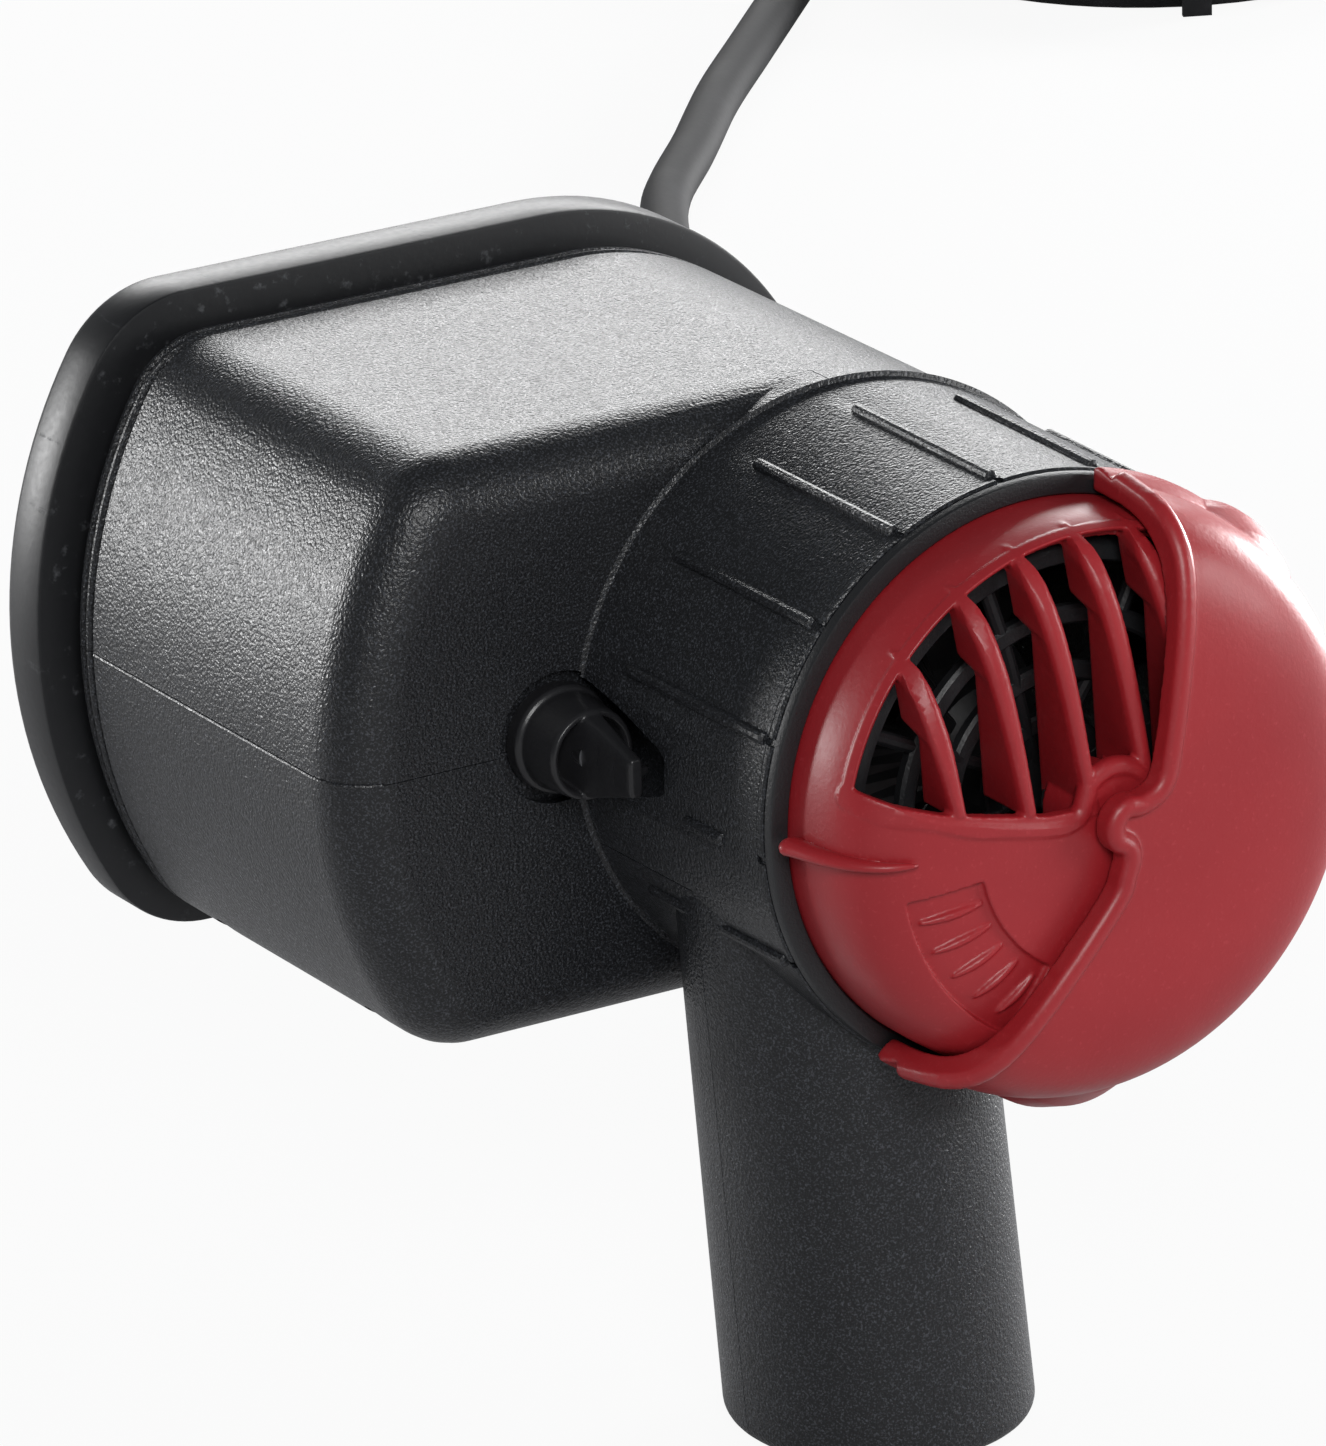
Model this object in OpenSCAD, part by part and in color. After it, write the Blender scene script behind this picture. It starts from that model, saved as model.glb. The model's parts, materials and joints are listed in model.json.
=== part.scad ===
// Hand-held 12 V car dryer blower: ribbed intake barrel, outlet box, round handle and a louvred intake cap
// with a turning half shutter. Millimetres, +Z up. The origin is the centre of the handle's flat foot.

/* [Barrel] */
// Radius of the barrel at its rim
barrel_r = 38; // [34:0.5:42]
// Growth of the barrel's radius from the rim to the box
barrel_draft = 0.9; // [0:0.1:1.5]
// Length of the barrel from the back of the box
barrel_len = 41; // [38:0.5:50]
// Wall of the barrel
barrel_wall = 2.7; // [2:0.1:3.5]
// Number of grip ribs round the barrel
rib_count = 16; // [8:1:24]
// Width of a grip rib
rib_w = 1.2; // [0.8:0.1:2]
// Height of a grip rib over the barrel
rib_h = 0.6; // [0.3:0.1:1]

/* [Outlet box] */
// Height of the box
box_h = 77; // [72:1:84]
// Reach of the box to the left of the barrel axis
box_left = 72; // [64:1:84]
// Radius of the bowed left side
box_side_r = 63; // [54:1:80]
// Radius of the two left corners
box_corner_r = 12; // [8:0.5:16]
// Depth of the box
box_depth = 65.5; // [55:0.5:80]
// Radius of the rounded back edge
box_edge_r = 7.5; // [4:0.5:9]
// Wall of the box
box_wall = 2.5; // [2:0.1:3.5]

/* [Outlet bezel] */
// How far the bezel stands out round the box
bezel_proud = 3.8; // [2:0.1:6]
// Depth of the bezel's rim
bezel_d = 8.5; // [6:0.5:14]
// Width of the groove between box and bezel
bezel_groove = 2.6; // [1.5:0.1:5]
// Width of the bezel's rim, seen from the outlet
bezel_rim_w = 8; // [6:0.5:12]
// Number of grille slats
slat_count = 9; // [5:1:12]
// Thickness of a grille slat
slat_t = 1.6; // [1:0.1:2.5]

/* [Handle] */
// Radius of the handle
handle_r = 19.4; // [17:0.1:20]
// Wall of the handle
handle_wall = 2.6; // [2:0.1:4]
// Height of the barrel axis over the foot
axis_h = 86.7; // [78:0.1:110]
// Sideways shift of the barrel axis from the foot's centre
foot_dx = 12.4; // [8:0.1:14]
// Lean of the handle to the side, from foot to barrel
handle_lean = 3.3; // [0:0.1:6]
// Rake of the handle, its foot towards the intake
handle_rake = 3.5; // [0:0.1:6]
// Radius of the foot's edge
foot_edge_r = 2.6; // [1:0.1:4]

/* [Intake cap and shutter] */
// Height of the cap's dome over its rim
cap_h = 18.9; // [15:0.1:24]
// Thickness of the cap
cap_t = 1.8; // [1.2:0.1:2.5]
// Thickness of the shutter
shutter_t = 1.9; // [1.4:0.1:2.4]
// Play between the cap and the shutter
shutter_play = 0.8; // [0.6:0.1:1.4]
// Width of the cap's rim outside the louvres
louvre_rim = 2.6; // [2:0.1:6]
// Distance from blade to blade
louvre_pitch = 8.1; // [6:0.1:12]
// Thickness of a louvre blade
blade_t = 1.5; // [1:0.1:2.2]
// Depth of a louvre blade
blade_d = 7; // [4:0.5:9]
// Lean of the louvre blades
blade_lean = 10.5; // [0:0.5:15]
// Radius of the shutter's post
post_r = 2.5; // [2:0.1:3.5]

/* [Speed knob] */
// Radius of the knob's base
knob_r = 7; // [6:0.1:7.8]
// Height of the knob over the back of the box
knob_h = 18; // [14:0.5:20]
// Radius of the switch shaft
knob_shaft_r = 2; // [1.5:0.1:2.5]

/* [Fan and motor] */
// Radius of the motor can
motor_r = 13.9; // [12:0.1:16]
// Length of the motor can
motor_len = 37.8; // [30:0.1:45]
// Radius of the motor shaft
shaft_r = 1.15; // [1:0.05:2]
// Number of fan blades
fan_blades = 7; // [5:1:9]
// Depth of the fan
fan_d = 11; // [8:0.5:12]

/* [Heater] */
// Depth of the heater core
heater_d = 14; // [10:0.5:18]
// Number of heater fins
fin_count = 16; // [8:1:24]

/* [Cord] */
// Diameter of the cord
cord_d = 8; // [6:0.5:8]
// Radius of the outer turn of the stored coil
coil_r = 52; // [48:1:60]

/* [Hidden] */
$fn = 64;
fit = 0.1;      // gap between fixed pieces
run = 0.05;     // radial gap of a shaft in its hole
seam = 0.15;    // parting line between the two shells
eps = 0.01;

// Head frame: the barrel axis is the line x = z = 0, and y = 0 is the back of the box.
handle_top_z = -18.4;
handle_slope_x = tan(handle_lean);
handle_slope_y = tan(handle_rake);
head_y = barrel_len / 2 + 0.5 + (axis_h + handle_top_z) * handle_slope_y;
head_pos = [foot_dx, head_y, axis_h];

box_r = box_h / 2;
side_cx = box_side_r - box_left;
corner_z = box_r - box_corner_r;
corner_x = side_cx - sqrt(pow(box_side_r - box_corner_r, 2) - pow(corner_z, 2));
side_a = atan2(corner_z, side_cx - corner_x);
bore_r = barrel_r - barrel_wall;
flat_rise = 0.03;    // the flat top and bottom rise this much where they leave the round side

lip_y = box_depth + 0.7;
bezel_y = lip_y + bezel_groove;
outlet_y = bezel_y + bezel_d;
neck_gap = box_wall + fit;
neck_t = 2;
grille_t = 3;

knob_pos = [-barrel_r - 3.4, 1];
knob_recess_r = knob_r + 1.5;
knob_recess_d = 1.5;
knob_pad_t = 4.5;
switch_d = 14;
switch_back = knob_pad_t + switch_d;
boss_r = 3.6;
pocket_r = knob_recess_r + 1.3;
pocket_len = knob_h + 3;
pocket_wall = 1.8;

rim_y = barrel_len;                 // places along the barrel are depths towards the intake
guard_lip_t = 2.5;
guard_seat = rim_y + fit + 0.5;
guard_lip_top = guard_seat + 1.1;
cap_r = barrel_r - guard_lip_t - 0.2;
cap_base = guard_seat + fit;
cap_top = cap_base + cap_h;
louvre_r = cap_r - louvre_rim;
dome_n = 4.3;                       // squareness of the dome's profile
shutter_base = guard_lip_top + 0.4;
shutter_in_r = cap_r + shutter_play;
shutter_in_top = cap_top + shutter_play;
shutter_out_r = shutter_in_r + shutter_t;
shutter_top = shutter_in_top + shutter_t;
hub_r = 5.5;
hub_end = cap_top - 8.5;              // inner end of the cap's hub
clip_play = 0.2;
clip_pin_r = 1;
shutter_edge_a = [77, -127.5];      // the two ends of the shutter's rim at rest
tongue_r = 3.9;                     // the shutter's tongue over its post
bead_h = 0.9;
bead_w = 2.2;
lug_a = [41, 271];
lug_r = 13;
lug_out = barrel_r + 4.4;
fin_a = 180;
fin_w = 1.6;

fan_front = rim_y - 6.5;
fan_r = bore_r - 1.5;
motor_front = fan_front - fan_d - 2;
motor_back = motor_front - motor_len;
motor_tag_len = 8;
fan_hub_r = 9;
mount_y = 6;
mount_arm_a = [45, 135, 225, 315];
mount_d = 9;

// From the barrel to the outlet lie the switch and motor tags, the heater, the strain relief and the bezel's neck
switch_tag_len = 7;
heater_front = min(motor_back - motor_tag_len, -switch_back - switch_tag_len) - 1;
exit_hole_r = cord_d / 2 + 1.6;
relief_flange_r = exit_hole_r + 2;
relief_gap = 0.9;
exit_depth = heater_d - heater_front + relief_gap + relief_flange_r;
neck_back = exit_depth + relief_flange_r + relief_gap;
guard_y = rim_y - 4;
guard_t = 2;

function arc(c, r, a0, a1, n) = [for (i = [0:n]) c + r * [cos(a0 + (a1 - a0) * i / n), sin(a0 + (a1 - a0) * i / n)]];
function inner(l) = [for (i = [1:len(l) - 2]) l[i]];
// Outline of the box in the face plane, grown by g, counter-clockwise. Its round right side keeps clear of the
// cut that rounds the back edge, because the barrel carries on there.
function box_outline(g, cut = 0) = concat(
    arc([0, 0], box_r + g, -90, 90, 24),
    [[-3, box_r + g + flat_rise - cut]],
    arc([corner_x, corner_z], box_corner_r + g - cut, 90, 180 - side_a, 5),
    inner(arc([side_cx, 0], box_side_r + g - cut, 180 - side_a, 180 + side_a, 10)),
    arc([corner_x, -corner_z], box_corner_r + g - cut, 180 + side_a, 270, 5),
    [[-3, -box_r - g - flat_rise + cut]]);
function at_z(l, z) = [for (p = l) [p[0], p[1], z]];
// Profile of a dome: points [radius, depth] from the rim to the top
function dome(r, base, top, n = 14) =
    [for (i = [0:n]) let (a = 90 * i / n, s = pow(sin(a), 2 / dome_n)) [r * pow(cos(a), 2 / dome_n), base + (top - base) * s]];
function reverse(l) = [for (i = [len(l) - 1:-1:0]) l[i]];
function unit(v) = v / norm(v);

// Closed skin through rings of equally many points, lowest ring first
module loft(rings) {
    n = len(rings[0]);
    m = len(rings);
    polyhedron(points = [for (r = rings) each r], faces = concat(
        [[for (i = [0:n - 1]) i]],
        [for (k = [0:m - 2], i = [0:n - 1]) let (j = (i + 1) % n) [k * n + i, (k + 1) * n + i, (k + 1) * n + j]],
        [for (k = [0:m - 2], i = [0:n - 1]) let (j = (i + 1) % n) [k * n + i, (k + 1) * n + j, k * n + j]],
        [[for (i = [n - 1:-1:0]) (m - 1) * n + i]]));
}

module head() { translate(head_pos) children(); }
// Face plane: local x stays, local y is up and local z is the depth towards the intake
module face() { head() rotate([90, 0, 0]) children(); }
module tube(r_out, r_in, z0, z1) {
    translate([0, 0, z0]) difference() {
        cylinder(r = r_out, h = z1 - z0);
        translate([0, 0, -1]) cylinder(r = r_in, h = z1 - z0 + 2);
    }
}
module disc(r, z0, z1) { translate([0, 0, z0]) cylinder(r = r, h = z1 - z0); }

// ---- housing ----
module box_skin(g, z0, z1) {
    steps = [for (i = [0:5]) 90 * i / 5];
    e = box_edge_r;
    loft(concat([at_z(box_outline(g), z0), at_z(box_outline(g), z1 - e)],
        [for (a = inner(steps)) at_z(box_outline(g, e * (1 - cos(a))), z1 - e * (1 - sin(a)))],
        [at_z(box_outline(g, e), z1)]));
}
module box_block(g, z0, z1) { loft([at_z(box_outline(g), z0), at_z(box_outline(g), z1)]); }

module barrel_skin() {
    cylinder(r1 = barrel_r + barrel_draft, r2 = barrel_r, h = barrel_len);
    translate([0, 0, -box_edge_r - 1]) cylinder(r = box_r - 0.3, h = box_edge_r + 2);
}
module rib(a, z0, z1) {
    rotate([0, 0, a]) translate([bore_r + 1, -rib_w / 2, z0])
        cube([barrel_r + rib_h - bore_r - 1, rib_w, z1 - z0]);
}
module ribs() {
    for (i = [0:rib_count - 1]) {
        a = 5 + i * 360 / rib_count;
        short = abs(a - 180) < 8;
        rib(a, short ? pocket_len + 2 : 9.6, short ? rim_y - 9 : rim_y - 0.6);
    }
}

// Centre of the handle at height z of the head frame
function handle_c(z) = [-foot_dx - (z + axis_h) * handle_slope_x, -head_y + (z + axis_h) * handle_slope_y];
function handle_ring(r, z) = [for (i = [0:47]) let (c = handle_c(z)) [c[0] + r * cos(i * 7.5), c[1] + r * sin(i * 7.5), z]];
module handle_skin() {
    f = foot_edge_r;
    loft(concat(
        [for (a = [0:18:90]) handle_ring(handle_r - f * (1 - sin(a)), -axis_h + f * (1 - cos(a)))],
        [handle_ring(handle_r - 0.8, -8)]));
}
module handle_bore() {
    loft([handle_ring(handle_r - handle_wall, -axis_h + handle_wall),
        handle_ring(handle_r - handle_wall, -barrel_r - 4.5)]);
}

screw_x = corner_x - 6;
box_screw_y = [14, exit_depth + 1.5];
handle_screw_z = [-axis_h + 13, -axis_h + 34];
screw_r = 1.5;
screw_head_r = 2.8;

// The lower shell's side of the parting line, moved outwards by g
module lower_side(g) {
    seam_z = -14;
    top = handle_c(seam_z);
    foot = handle_c(-axis_h - 10);
    head() rotate([90, 0, 90]) linear_extrude(height = 300, center = true)
        polygon([[-g, g], [-g, seam_z + g], [top[1] - g, seam_z + g], [foot[1] - g, -axis_h - 10],
            [150, -axis_h - 10], [150, g]]);
}

module box_bosses(z0, z1) {
    head() for (y = box_screw_y) translate([screw_x, y, z0]) cylinder(r = boss_r, h = z1 - z0);
}
module handle_bosses(y0, y1) {
    head() for (z = handle_screw_z) translate([handle_c(z)[0], y1, z]) rotate([90, 0, 0])
        cylinder(r = boss_r, h = y1 - y0);
}

module housing() {
    difference() {
        union() {
            difference() {
                union() {
                    face() box_skin(0, -box_depth, 0);
                    face() box_block(-0.8, -lip_y, -box_depth + 1);
                    face() barrel_skin();
                    face() ribs();
                    head() handle_skin();
                }
                face() box_skin(-box_wall, -box_depth - 5, -box_wall);
                face() disc(bore_r, -box_wall - 1, rim_y + 5);
                head() handle_bore();
            }
            intersection() {
                face() translate(knob_pos) disc(pocket_r + pocket_wall, -box_wall - 1, pocket_len + pocket_wall);
                face() disc(barrel_r - 0.3, -box_wall, rim_y);
            }
            face() translate(knob_pos) disc(knob_recess_r + 2, -knob_pad_t, -box_wall + eps);
            intersection() {
                union() {
                    box_bosses(-box_r + 1, box_r - 1);
                    handle_bosses(-head_y - handle_r, -head_y + handle_r + 4);
                }
                union() {
                    face() box_block(-1, -box_depth + 1, -3);
                    head() loft([handle_ring(handle_r - 1, -axis_h + 1), handle_ring(handle_r - 1, -barrel_r - 1)]);
                }
            }
        }
        face() translate(knob_pos) disc(pocket_r, 0, pocket_len);
        face() translate(knob_pos) disc(knob_recess_r, -knob_recess_d, 1);
        face() translate(knob_pos) disc(knob_shaft_r + 0.3, -knob_pad_t - 1, 1);
        screw_holes();
        exit_frame() translate([0, 0, -12]) cylinder(r = exit_hole_r, h = 20);
    }
}
module screw_holes() {
    head() for (y = box_screw_y) translate([screw_x, y, -box_r - 1]) {
        cylinder(r = screw_r + fit, h = box_r + 9);
        cylinder(r = screw_head_r + fit, h = 5);
    }
    head() for (z = handle_screw_z) translate([handle_c(z)[0], -head_y + handle_r + 5, z]) rotate([90, 0, 0]) {
        cylinder(r = screw_r + fit, h = handle_r + 16);
        cylinder(r = screw_head_r + fit, h = 9);
    }
}
module upper_shell() {
    color("#1c1d1f") difference() {
        housing();
        lower_side(seam / 2);
    }
}
module lower_shell() {
    color("#1c1d1f") intersection() {
        housing();
        lower_side(-seam / 2);
    }
}
module screw(len) {
    cylinder(r = screw_head_r, h = 2);
    cylinder(r = screw_r, h = len);
}
module housing_screws() {
    color("silver") {
        head() for (y = box_screw_y) translate([screw_x, y, -box_r + 2]) screw(box_r + 3);
        head() for (z = handle_screw_z) translate([handle_c(z)[0], -head_y + handle_r - 2, z])
            rotate([90, 0, 0]) screw(handle_r + 6);
    }
}

// ---- outlet ----
module outlet_bezel() {
    p = bezel_proud;
    color("#18191b") face() difference() {
        union() {
            loft([at_z(box_outline(p - 2.6), -outlet_y), at_z(box_outline(p - 0.9), -outlet_y + 0.8),
                at_z(box_outline(p), -outlet_y + 2.6), at_z(box_outline(p), -bezel_y - 1.2),
                at_z(box_outline(p - 0.4), -bezel_y - 0.4), at_z(box_outline(p - 1.2), -bezel_y)]);
            box_block(-neck_gap, -outlet_y + 1, -neck_back);
        }
        box_block(-neck_gap - neck_t, -outlet_y + grille_t + 1, 1 - neck_back);
        loft([at_z(box_outline(p - bezel_rim_w + 2), -outlet_y - 1),
            at_z(box_outline(p - bezel_rim_w - 1), -outlet_y + grille_t + 2)]);
    }
}
module outlet_grille() {
    g = -neck_gap - neck_t - fit;
    pitch = (box_h - 2 * neck_gap - 2 * neck_t) / slat_count;
    color("#222325") face() translate([0, 0, -outlet_y + grille_t + 1 + fit]) {
        difference() {
            linear_extrude(height = grille_t) polygon(box_outline(g));
            translate([0, 0, -1]) linear_extrude(height = grille_t + 2) polygon(box_outline(g - 2.5));
        }
        intersection() {
            linear_extrude(height = grille_t) polygon(box_outline(g - 1));
            union() {
                for (i = [1:slat_count - 1])
                    translate([-box_left, (i - slat_count / 2) * pitch - slat_t / 2, 0])
                        cube([box_left + box_r, slat_t, grille_t]);
                for (x = [-44, -16, 12]) translate([x, -box_r, 0.6]) cube([1.8, box_h, grille_t - 1.2]);
            }
        }
    }
}

// ---- heater ----
core_w = 66;
core_h = 50;
core_x = -50;
module heater_frame() {
    color("#d8d2c0") face() difference() {
        translate([0, 0, heater_front - heater_d]) linear_extrude(height = heater_d)
            polygon(box_outline(-box_wall - fit));
        translate([core_x, -core_h / 2, heater_front - heater_d - 1]) cube([core_w, core_h, heater_d + 2]);
    }
}
module heater_core() {
    g = 0.2;
    bar_h = 3;
    x0 = core_x + g;
    w = core_w - 2 * g;
    h = core_h - 2 * g;
    color("#b9bcc0") face() translate([x0, -h / 2, heater_front - heater_d + 1]) {
        for (k = [0:3]) translate([0, k * (h - bar_h) / 3, 0]) cube([w, bar_h, heater_d - 2]);
        for (i = [0:fin_count - 1]) translate([2 + i * (w - 5) / (fin_count - 1), 0.5, 0.5])
            cube([1, h - 1, heater_d - 3]);
    }
}
module thermal_cutout() {
    color("#c9c2b0") face() translate([core_x + core_w / 2, core_h / 2 - 5, heater_front - 1 + 0.05]) {
        cylinder(r = 4, h = 4);
        translate([-7, -1.5, 0]) cube([14, 3, 0.8]);
    }
}

// ---- fan and motor ----
module motor_mount() {
    color("#2a2b2d") face() translate([0, 0, mount_y]) linear_extrude(height = mount_d) difference() {
        union() {
            circle(r = motor_r + 2.4);
            intersection() {
                difference() {
                    circle(r = bore_r - 0.05);
                    circle(r = bore_r - 2.4);
                }
                for (a = mount_arm_a) rotate(a) translate([bore_r - 8, -7]) square([10, 14]);
            }
            for (a = mount_arm_a) rotate(a) translate([motor_r + 1, -1.2]) square([bore_r - 2 - motor_r, 2.4]);
        }
        circle(r = motor_r + run);
    }
}
module motor_can() {
    color("#a9acb0") face() difference() {
        union() {
            disc(motor_r, motor_back, motor_front);
            disc(5, motor_front - 1, motor_front + 1.5);
        }
        disc(shaft_r + run, motor_back - 1, motor_front + 3);
        disc(motor_r - 3, motor_back - 1, motor_back + 2.5);
        motor_screw_places() disc(screw_r - 0.2, motor_front - 5, motor_front + 1);
    }
}
module motor_screw_places() { for (a = [0, 180]) rotate([0, 0, a]) translate([8.5, 0, 0]) children(); }
module motor_end_cap() {
    color("#e6e3dc") face() difference() {
        union() {
            disc(motor_r - 3 - fit, motor_back - 1.5, motor_back + 2.4);
            disc(motor_r - 0.4, motor_back - 1.5, motor_back - 0.05);
        }
        disc(shaft_r + run, motor_back - 2, motor_back + 4);
        motor_terminal_slots(0.05);
    }
}
module motor_terminal_slots(g) {
    for (x = [-8, 8]) translate([x - 0.4 - g, -2.4 - g, motor_back - motor_tag_len])
        cube([0.8 + 2 * g, 4.8 + 2 * g, motor_tag_len + 1]);
}
module motor_terminals() { color("#c9a24a") face() motor_terminal_slots(0); }
module motor_screws() {
    color("silver") face() motor_screw_places() {
        disc(screw_r - 0.3, motor_front - 4.5, motor_front + 0.1);
        disc(screw_head_r - 0.4, motor_front + 0.1, motor_front + 1.4);
    }
}
module motor_shaft() {
    color("#d0d2d5") face() disc(shaft_r, motor_back - 1, fan_front - 1);
}
module fan_impeller() {
    back = fan_front - fan_d;
    color("#e8e6df") face() difference() {
        union() {
            disc(fan_hub_r, back + 1.2, fan_front - 1.5);
            translate([0, 0, fan_front - 1.5]) cylinder(r1 = fan_hub_r, r2 = fan_hub_r - 2.5, h = 1.5);
            for (i = [0:fan_blades - 1]) rotate([0, 0, i * 360 / fan_blades + 7])
                translate([0, 0, back]) linear_extrude(height = fan_d, twist = -32, slices = 6, segments = 4)
                    translate([fan_hub_r - 1, -0.7]) square([fan_r - fan_hub_r + 1, 1.4]);
        }
        disc(shaft_r, back - 1, fan_front - 1);
        disc(fan_hub_r - 2, back, back + 3.2);
    }
}

// ---- intake ----
module intake_guard() {
    ring_t = 1.3;
    color("#141516") face() {
        rotate_extrude() polygon([[bore_r - 2.2, guard_y - 1.5], [bore_r - fit, guard_y - 1.5], [bore_r - fit, rim_y + fit],
            [barrel_r, rim_y + fit], [barrel_r, guard_lip_top - 0.5], [barrel_r - 0.5, guard_lip_top],
            [cap_r + 0.15, guard_lip_top], [cap_r + 0.15, guard_seat], [bore_r - 2.2, guard_seat]]);
        for (r = [9, 16, 23, 29.5]) tube(r + ring_t / 2, r - ring_t / 2, guard_y, guard_y + guard_t);
        disc(3.4, guard_y, guard_y + guard_t);
        for (a = [0:45:315]) rotate([0, 0, a + 20]) translate([2, -0.6, guard_y])
            cube([bore_r - 3, 1.2, guard_t]);
    }
}
// Solid of the dome between two depths below its outer profile
module dome_solid(r, base, top) { rotate_extrude() polygon(concat([[0, base]], dome(r, base, top))); }

louvre_edge = [[-louvre_r - 1, 9.3], [0.7 - louvre_r, 9], [-hub_r - 2, 2.2], [hub_r + 3, 1.5], [louvre_r + 1, 3.4]];
module louvre_area() {
    intersection() {
        circle(r = louvre_r);
        polygon(concat(louvre_edge, [[louvre_r + 1, louvre_r + 1], [-louvre_r - 1, louvre_r + 1]]));
    }
}
module louvre_blades() {
    top_x = -25.4;
    below = 9;      // how far a blade runs on below the cap's axis, and beyond the opening's rim
    beyond = 2;
    for (i = [0:5]) {
        x = top_x + i * louvre_pitch;
        y = sqrt(pow(louvre_r, 2) - pow(x, 2));
        translate([x, y]) rotate(blade_lean) translate([-blade_t / 2, -y - below])
            square([blade_t, below + y + beyond]);
    }
}
module louvre_cap() {
    color("#a3242c") face() {
        difference() {
            union() {
                difference() {
                    dome_solid(cap_r, cap_base, cap_top);
                    dome_solid(cap_r - cap_t, cap_base - 1, cap_top - cap_t);
                    difference() {
                        linear_extrude(height = cap_top + 1) louvre_area();
                        cylinder(r = hub_r + 1.2, h = cap_top + 2);
                    }
                }
                intersection() {
                    difference() {
                        dome_solid(cap_r - 0.4, cap_base, cap_top - 0.5);
                        dome_solid(cap_r - 0.4 - blade_d, cap_base - 1, cap_top - 0.5 - blade_d);
                    }
                    linear_extrude(height = cap_top + 1) intersection() {
                        louvre_blades();
                        circle(r = louvre_r + 0.6);
                        polygon(concat(louvre_edge - [for (p = louvre_edge) [0, 0.8]],
                            [[louvre_r + 1, louvre_r + 1], [-louvre_r - 1, louvre_r + 1]]));
                    }
                }
                disc(hub_r + 1.2, hub_end, cap_top - 1.5);
                stop_fin();
            }
            disc(post_r + run, cap_base - 2, cap_top + 2);
        }
    }
}
// End stop of the shutter: a thin fin that lies over the guard's lip
module stop_fin() {
    rotate([0, 0, fin_a]) translate([0, fin_w / 2, 0]) rotate([90, 0, 0]) linear_extrude(height = fin_w)
        polygon([[cap_r - 11, cap_top - 4], [cap_r - 0.6, cap_base + 1.4], [cap_r - 0.6, guard_lip_top + 0.2],
            [barrel_r - 0.6, guard_lip_top + 0.2], [barrel_r - 0.2, guard_lip_top + 2.4],
            [cap_r + 0.6, cap_base + 11], [cap_r - 4, cap_top - 1.6], [cap_r - 10, cap_top - 1.2]]);
}

// Edge of the shutter from its upper rim end past the hub to its lower rim end
function rim_point(a, r) = r * [cos(a), sin(a)];
shutter_edge = concat(
    [rim_point(shutter_edge_a[0], lug_out + 4), rim_point(shutter_edge_a[0], barrel_r)],
    cap_r * [[0.238, 0.94], [0.232, 0.85], [0.187, 0.57], [0.13, 0.24], [0.1, 0.14]],
    arc([0, 0], tongue_r, 72, 248, 8),
    cap_r * [[-0.06, -0.17], [-0.1, -0.25], [-0.34, -0.53], [-0.55, -0.78]],
    [rim_point(shutter_edge_a[1], barrel_r), rim_point(shutter_edge_a[1], lug_out + 4)]);
far = lug_out + 18;                 // beyond the shutter on every side
module shutter_area() {
    polygon(concat(shutter_edge, [[-far / 6, -far], [far, -far], [far, far], [far / 3, far]]));
}
function strip(l, w) = concat(
    [for (i = [0:len(l) - 1]) l[i] + w * normal_at(l, i)], reverse(l));
function normal_at(l, i) = let (d = unit(l[min(i + 1, len(l) - 1)] - l[max(i - 1, 0)])) [-d[1], d[0]];

module shutter_lug(a) {
    rotate([0, 0, a]) translate([lug_out - lug_r, 0, shutter_base]) {
        cylinder(r = lug_r, h = 5);
        translate([0, 0, 5]) cylinder(r1 = lug_r, r2 = lug_r - 5, h = 5);
    }
}
module shutter() {
    color("#a3242c") face() difference() {
        union() {
            difference() {
                union() {
                    intersection() {
                        union() {
                            dome_solid(shutter_out_r, shutter_base, shutter_top);
                            for (a = lug_a) shutter_lug(a);
                        }
                        translate([0, 0, shutter_base]) linear_extrude(height = far) shutter_area();
                    }
                    intersection() {
                        dome_solid(shutter_out_r + bead_h, shutter_base, shutter_top + bead_h);
                        translate([0, 0, shutter_base]) linear_extrude(height = far)
                            polygon(strip(shutter_edge, bead_w));
                    }
                }
                dome_solid(shutter_in_r, shutter_base - 3, shutter_in_top);
            }
            disc(post_r, hub_end - clip_play, shutter_in_top + 0.6);
        }
        disc(clip_pin_r + run, hub_end - 1, hub_end + 6);
    }
}
module shutter_clip() {
    z = hub_end - clip_play;
    color("#b9bcc0") face() {
        disc(post_r + 2, z - 1.2, z);
        disc(clip_pin_r, z - 1.2, z + 5);
        disc(2 * clip_pin_r, z - 2.2, z - 1.2);
    }
}

// ---- speed knob ----
module at_knob() { face() translate([knob_pos[0], knob_pos[1], 0]) children(); }
module speed_knob() {
    base = -knob_recess_d + 0.3;
    color("#202123") at_knob() difference() {
        union() {
            disc(knob_r, base, 1.6);
            difference() {
                translate([0, 0, 1.6]) cylinder(r1 = knob_r, r2 = 2.6, h = knob_h - 1.6);
                for (s = [-1, 1]) translate([s * 15.2, 0, knob_h + 1]) rotate([90, 0, 0])
                    cylinder(r = 14.2, h = 30, center = true);
            }
            translate([-1, -2.6, knob_h - 6]) cube([2, 5.2, 6]);
            translate([0, -0.6, knob_h - 3]) cube([3, 1.2, 2.4]);
        }
        disc(knob_shaft_r, base - 1, knob_h * 0.45);
    }
}
module switch_shaft() {
    color("#c9cbce") at_knob() disc(knob_shaft_r, -knob_pad_t - 12, knob_h * 0.45 - 0.2);
}
module rotary_switch() {
    color("#27282a") at_knob() difference() {
        translate([-10, -9, -switch_back]) cube([20, 18, switch_d - fit]);
        disc(knob_shaft_r + run, -knob_pad_t - 12.2, 1);
    }
}
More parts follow.
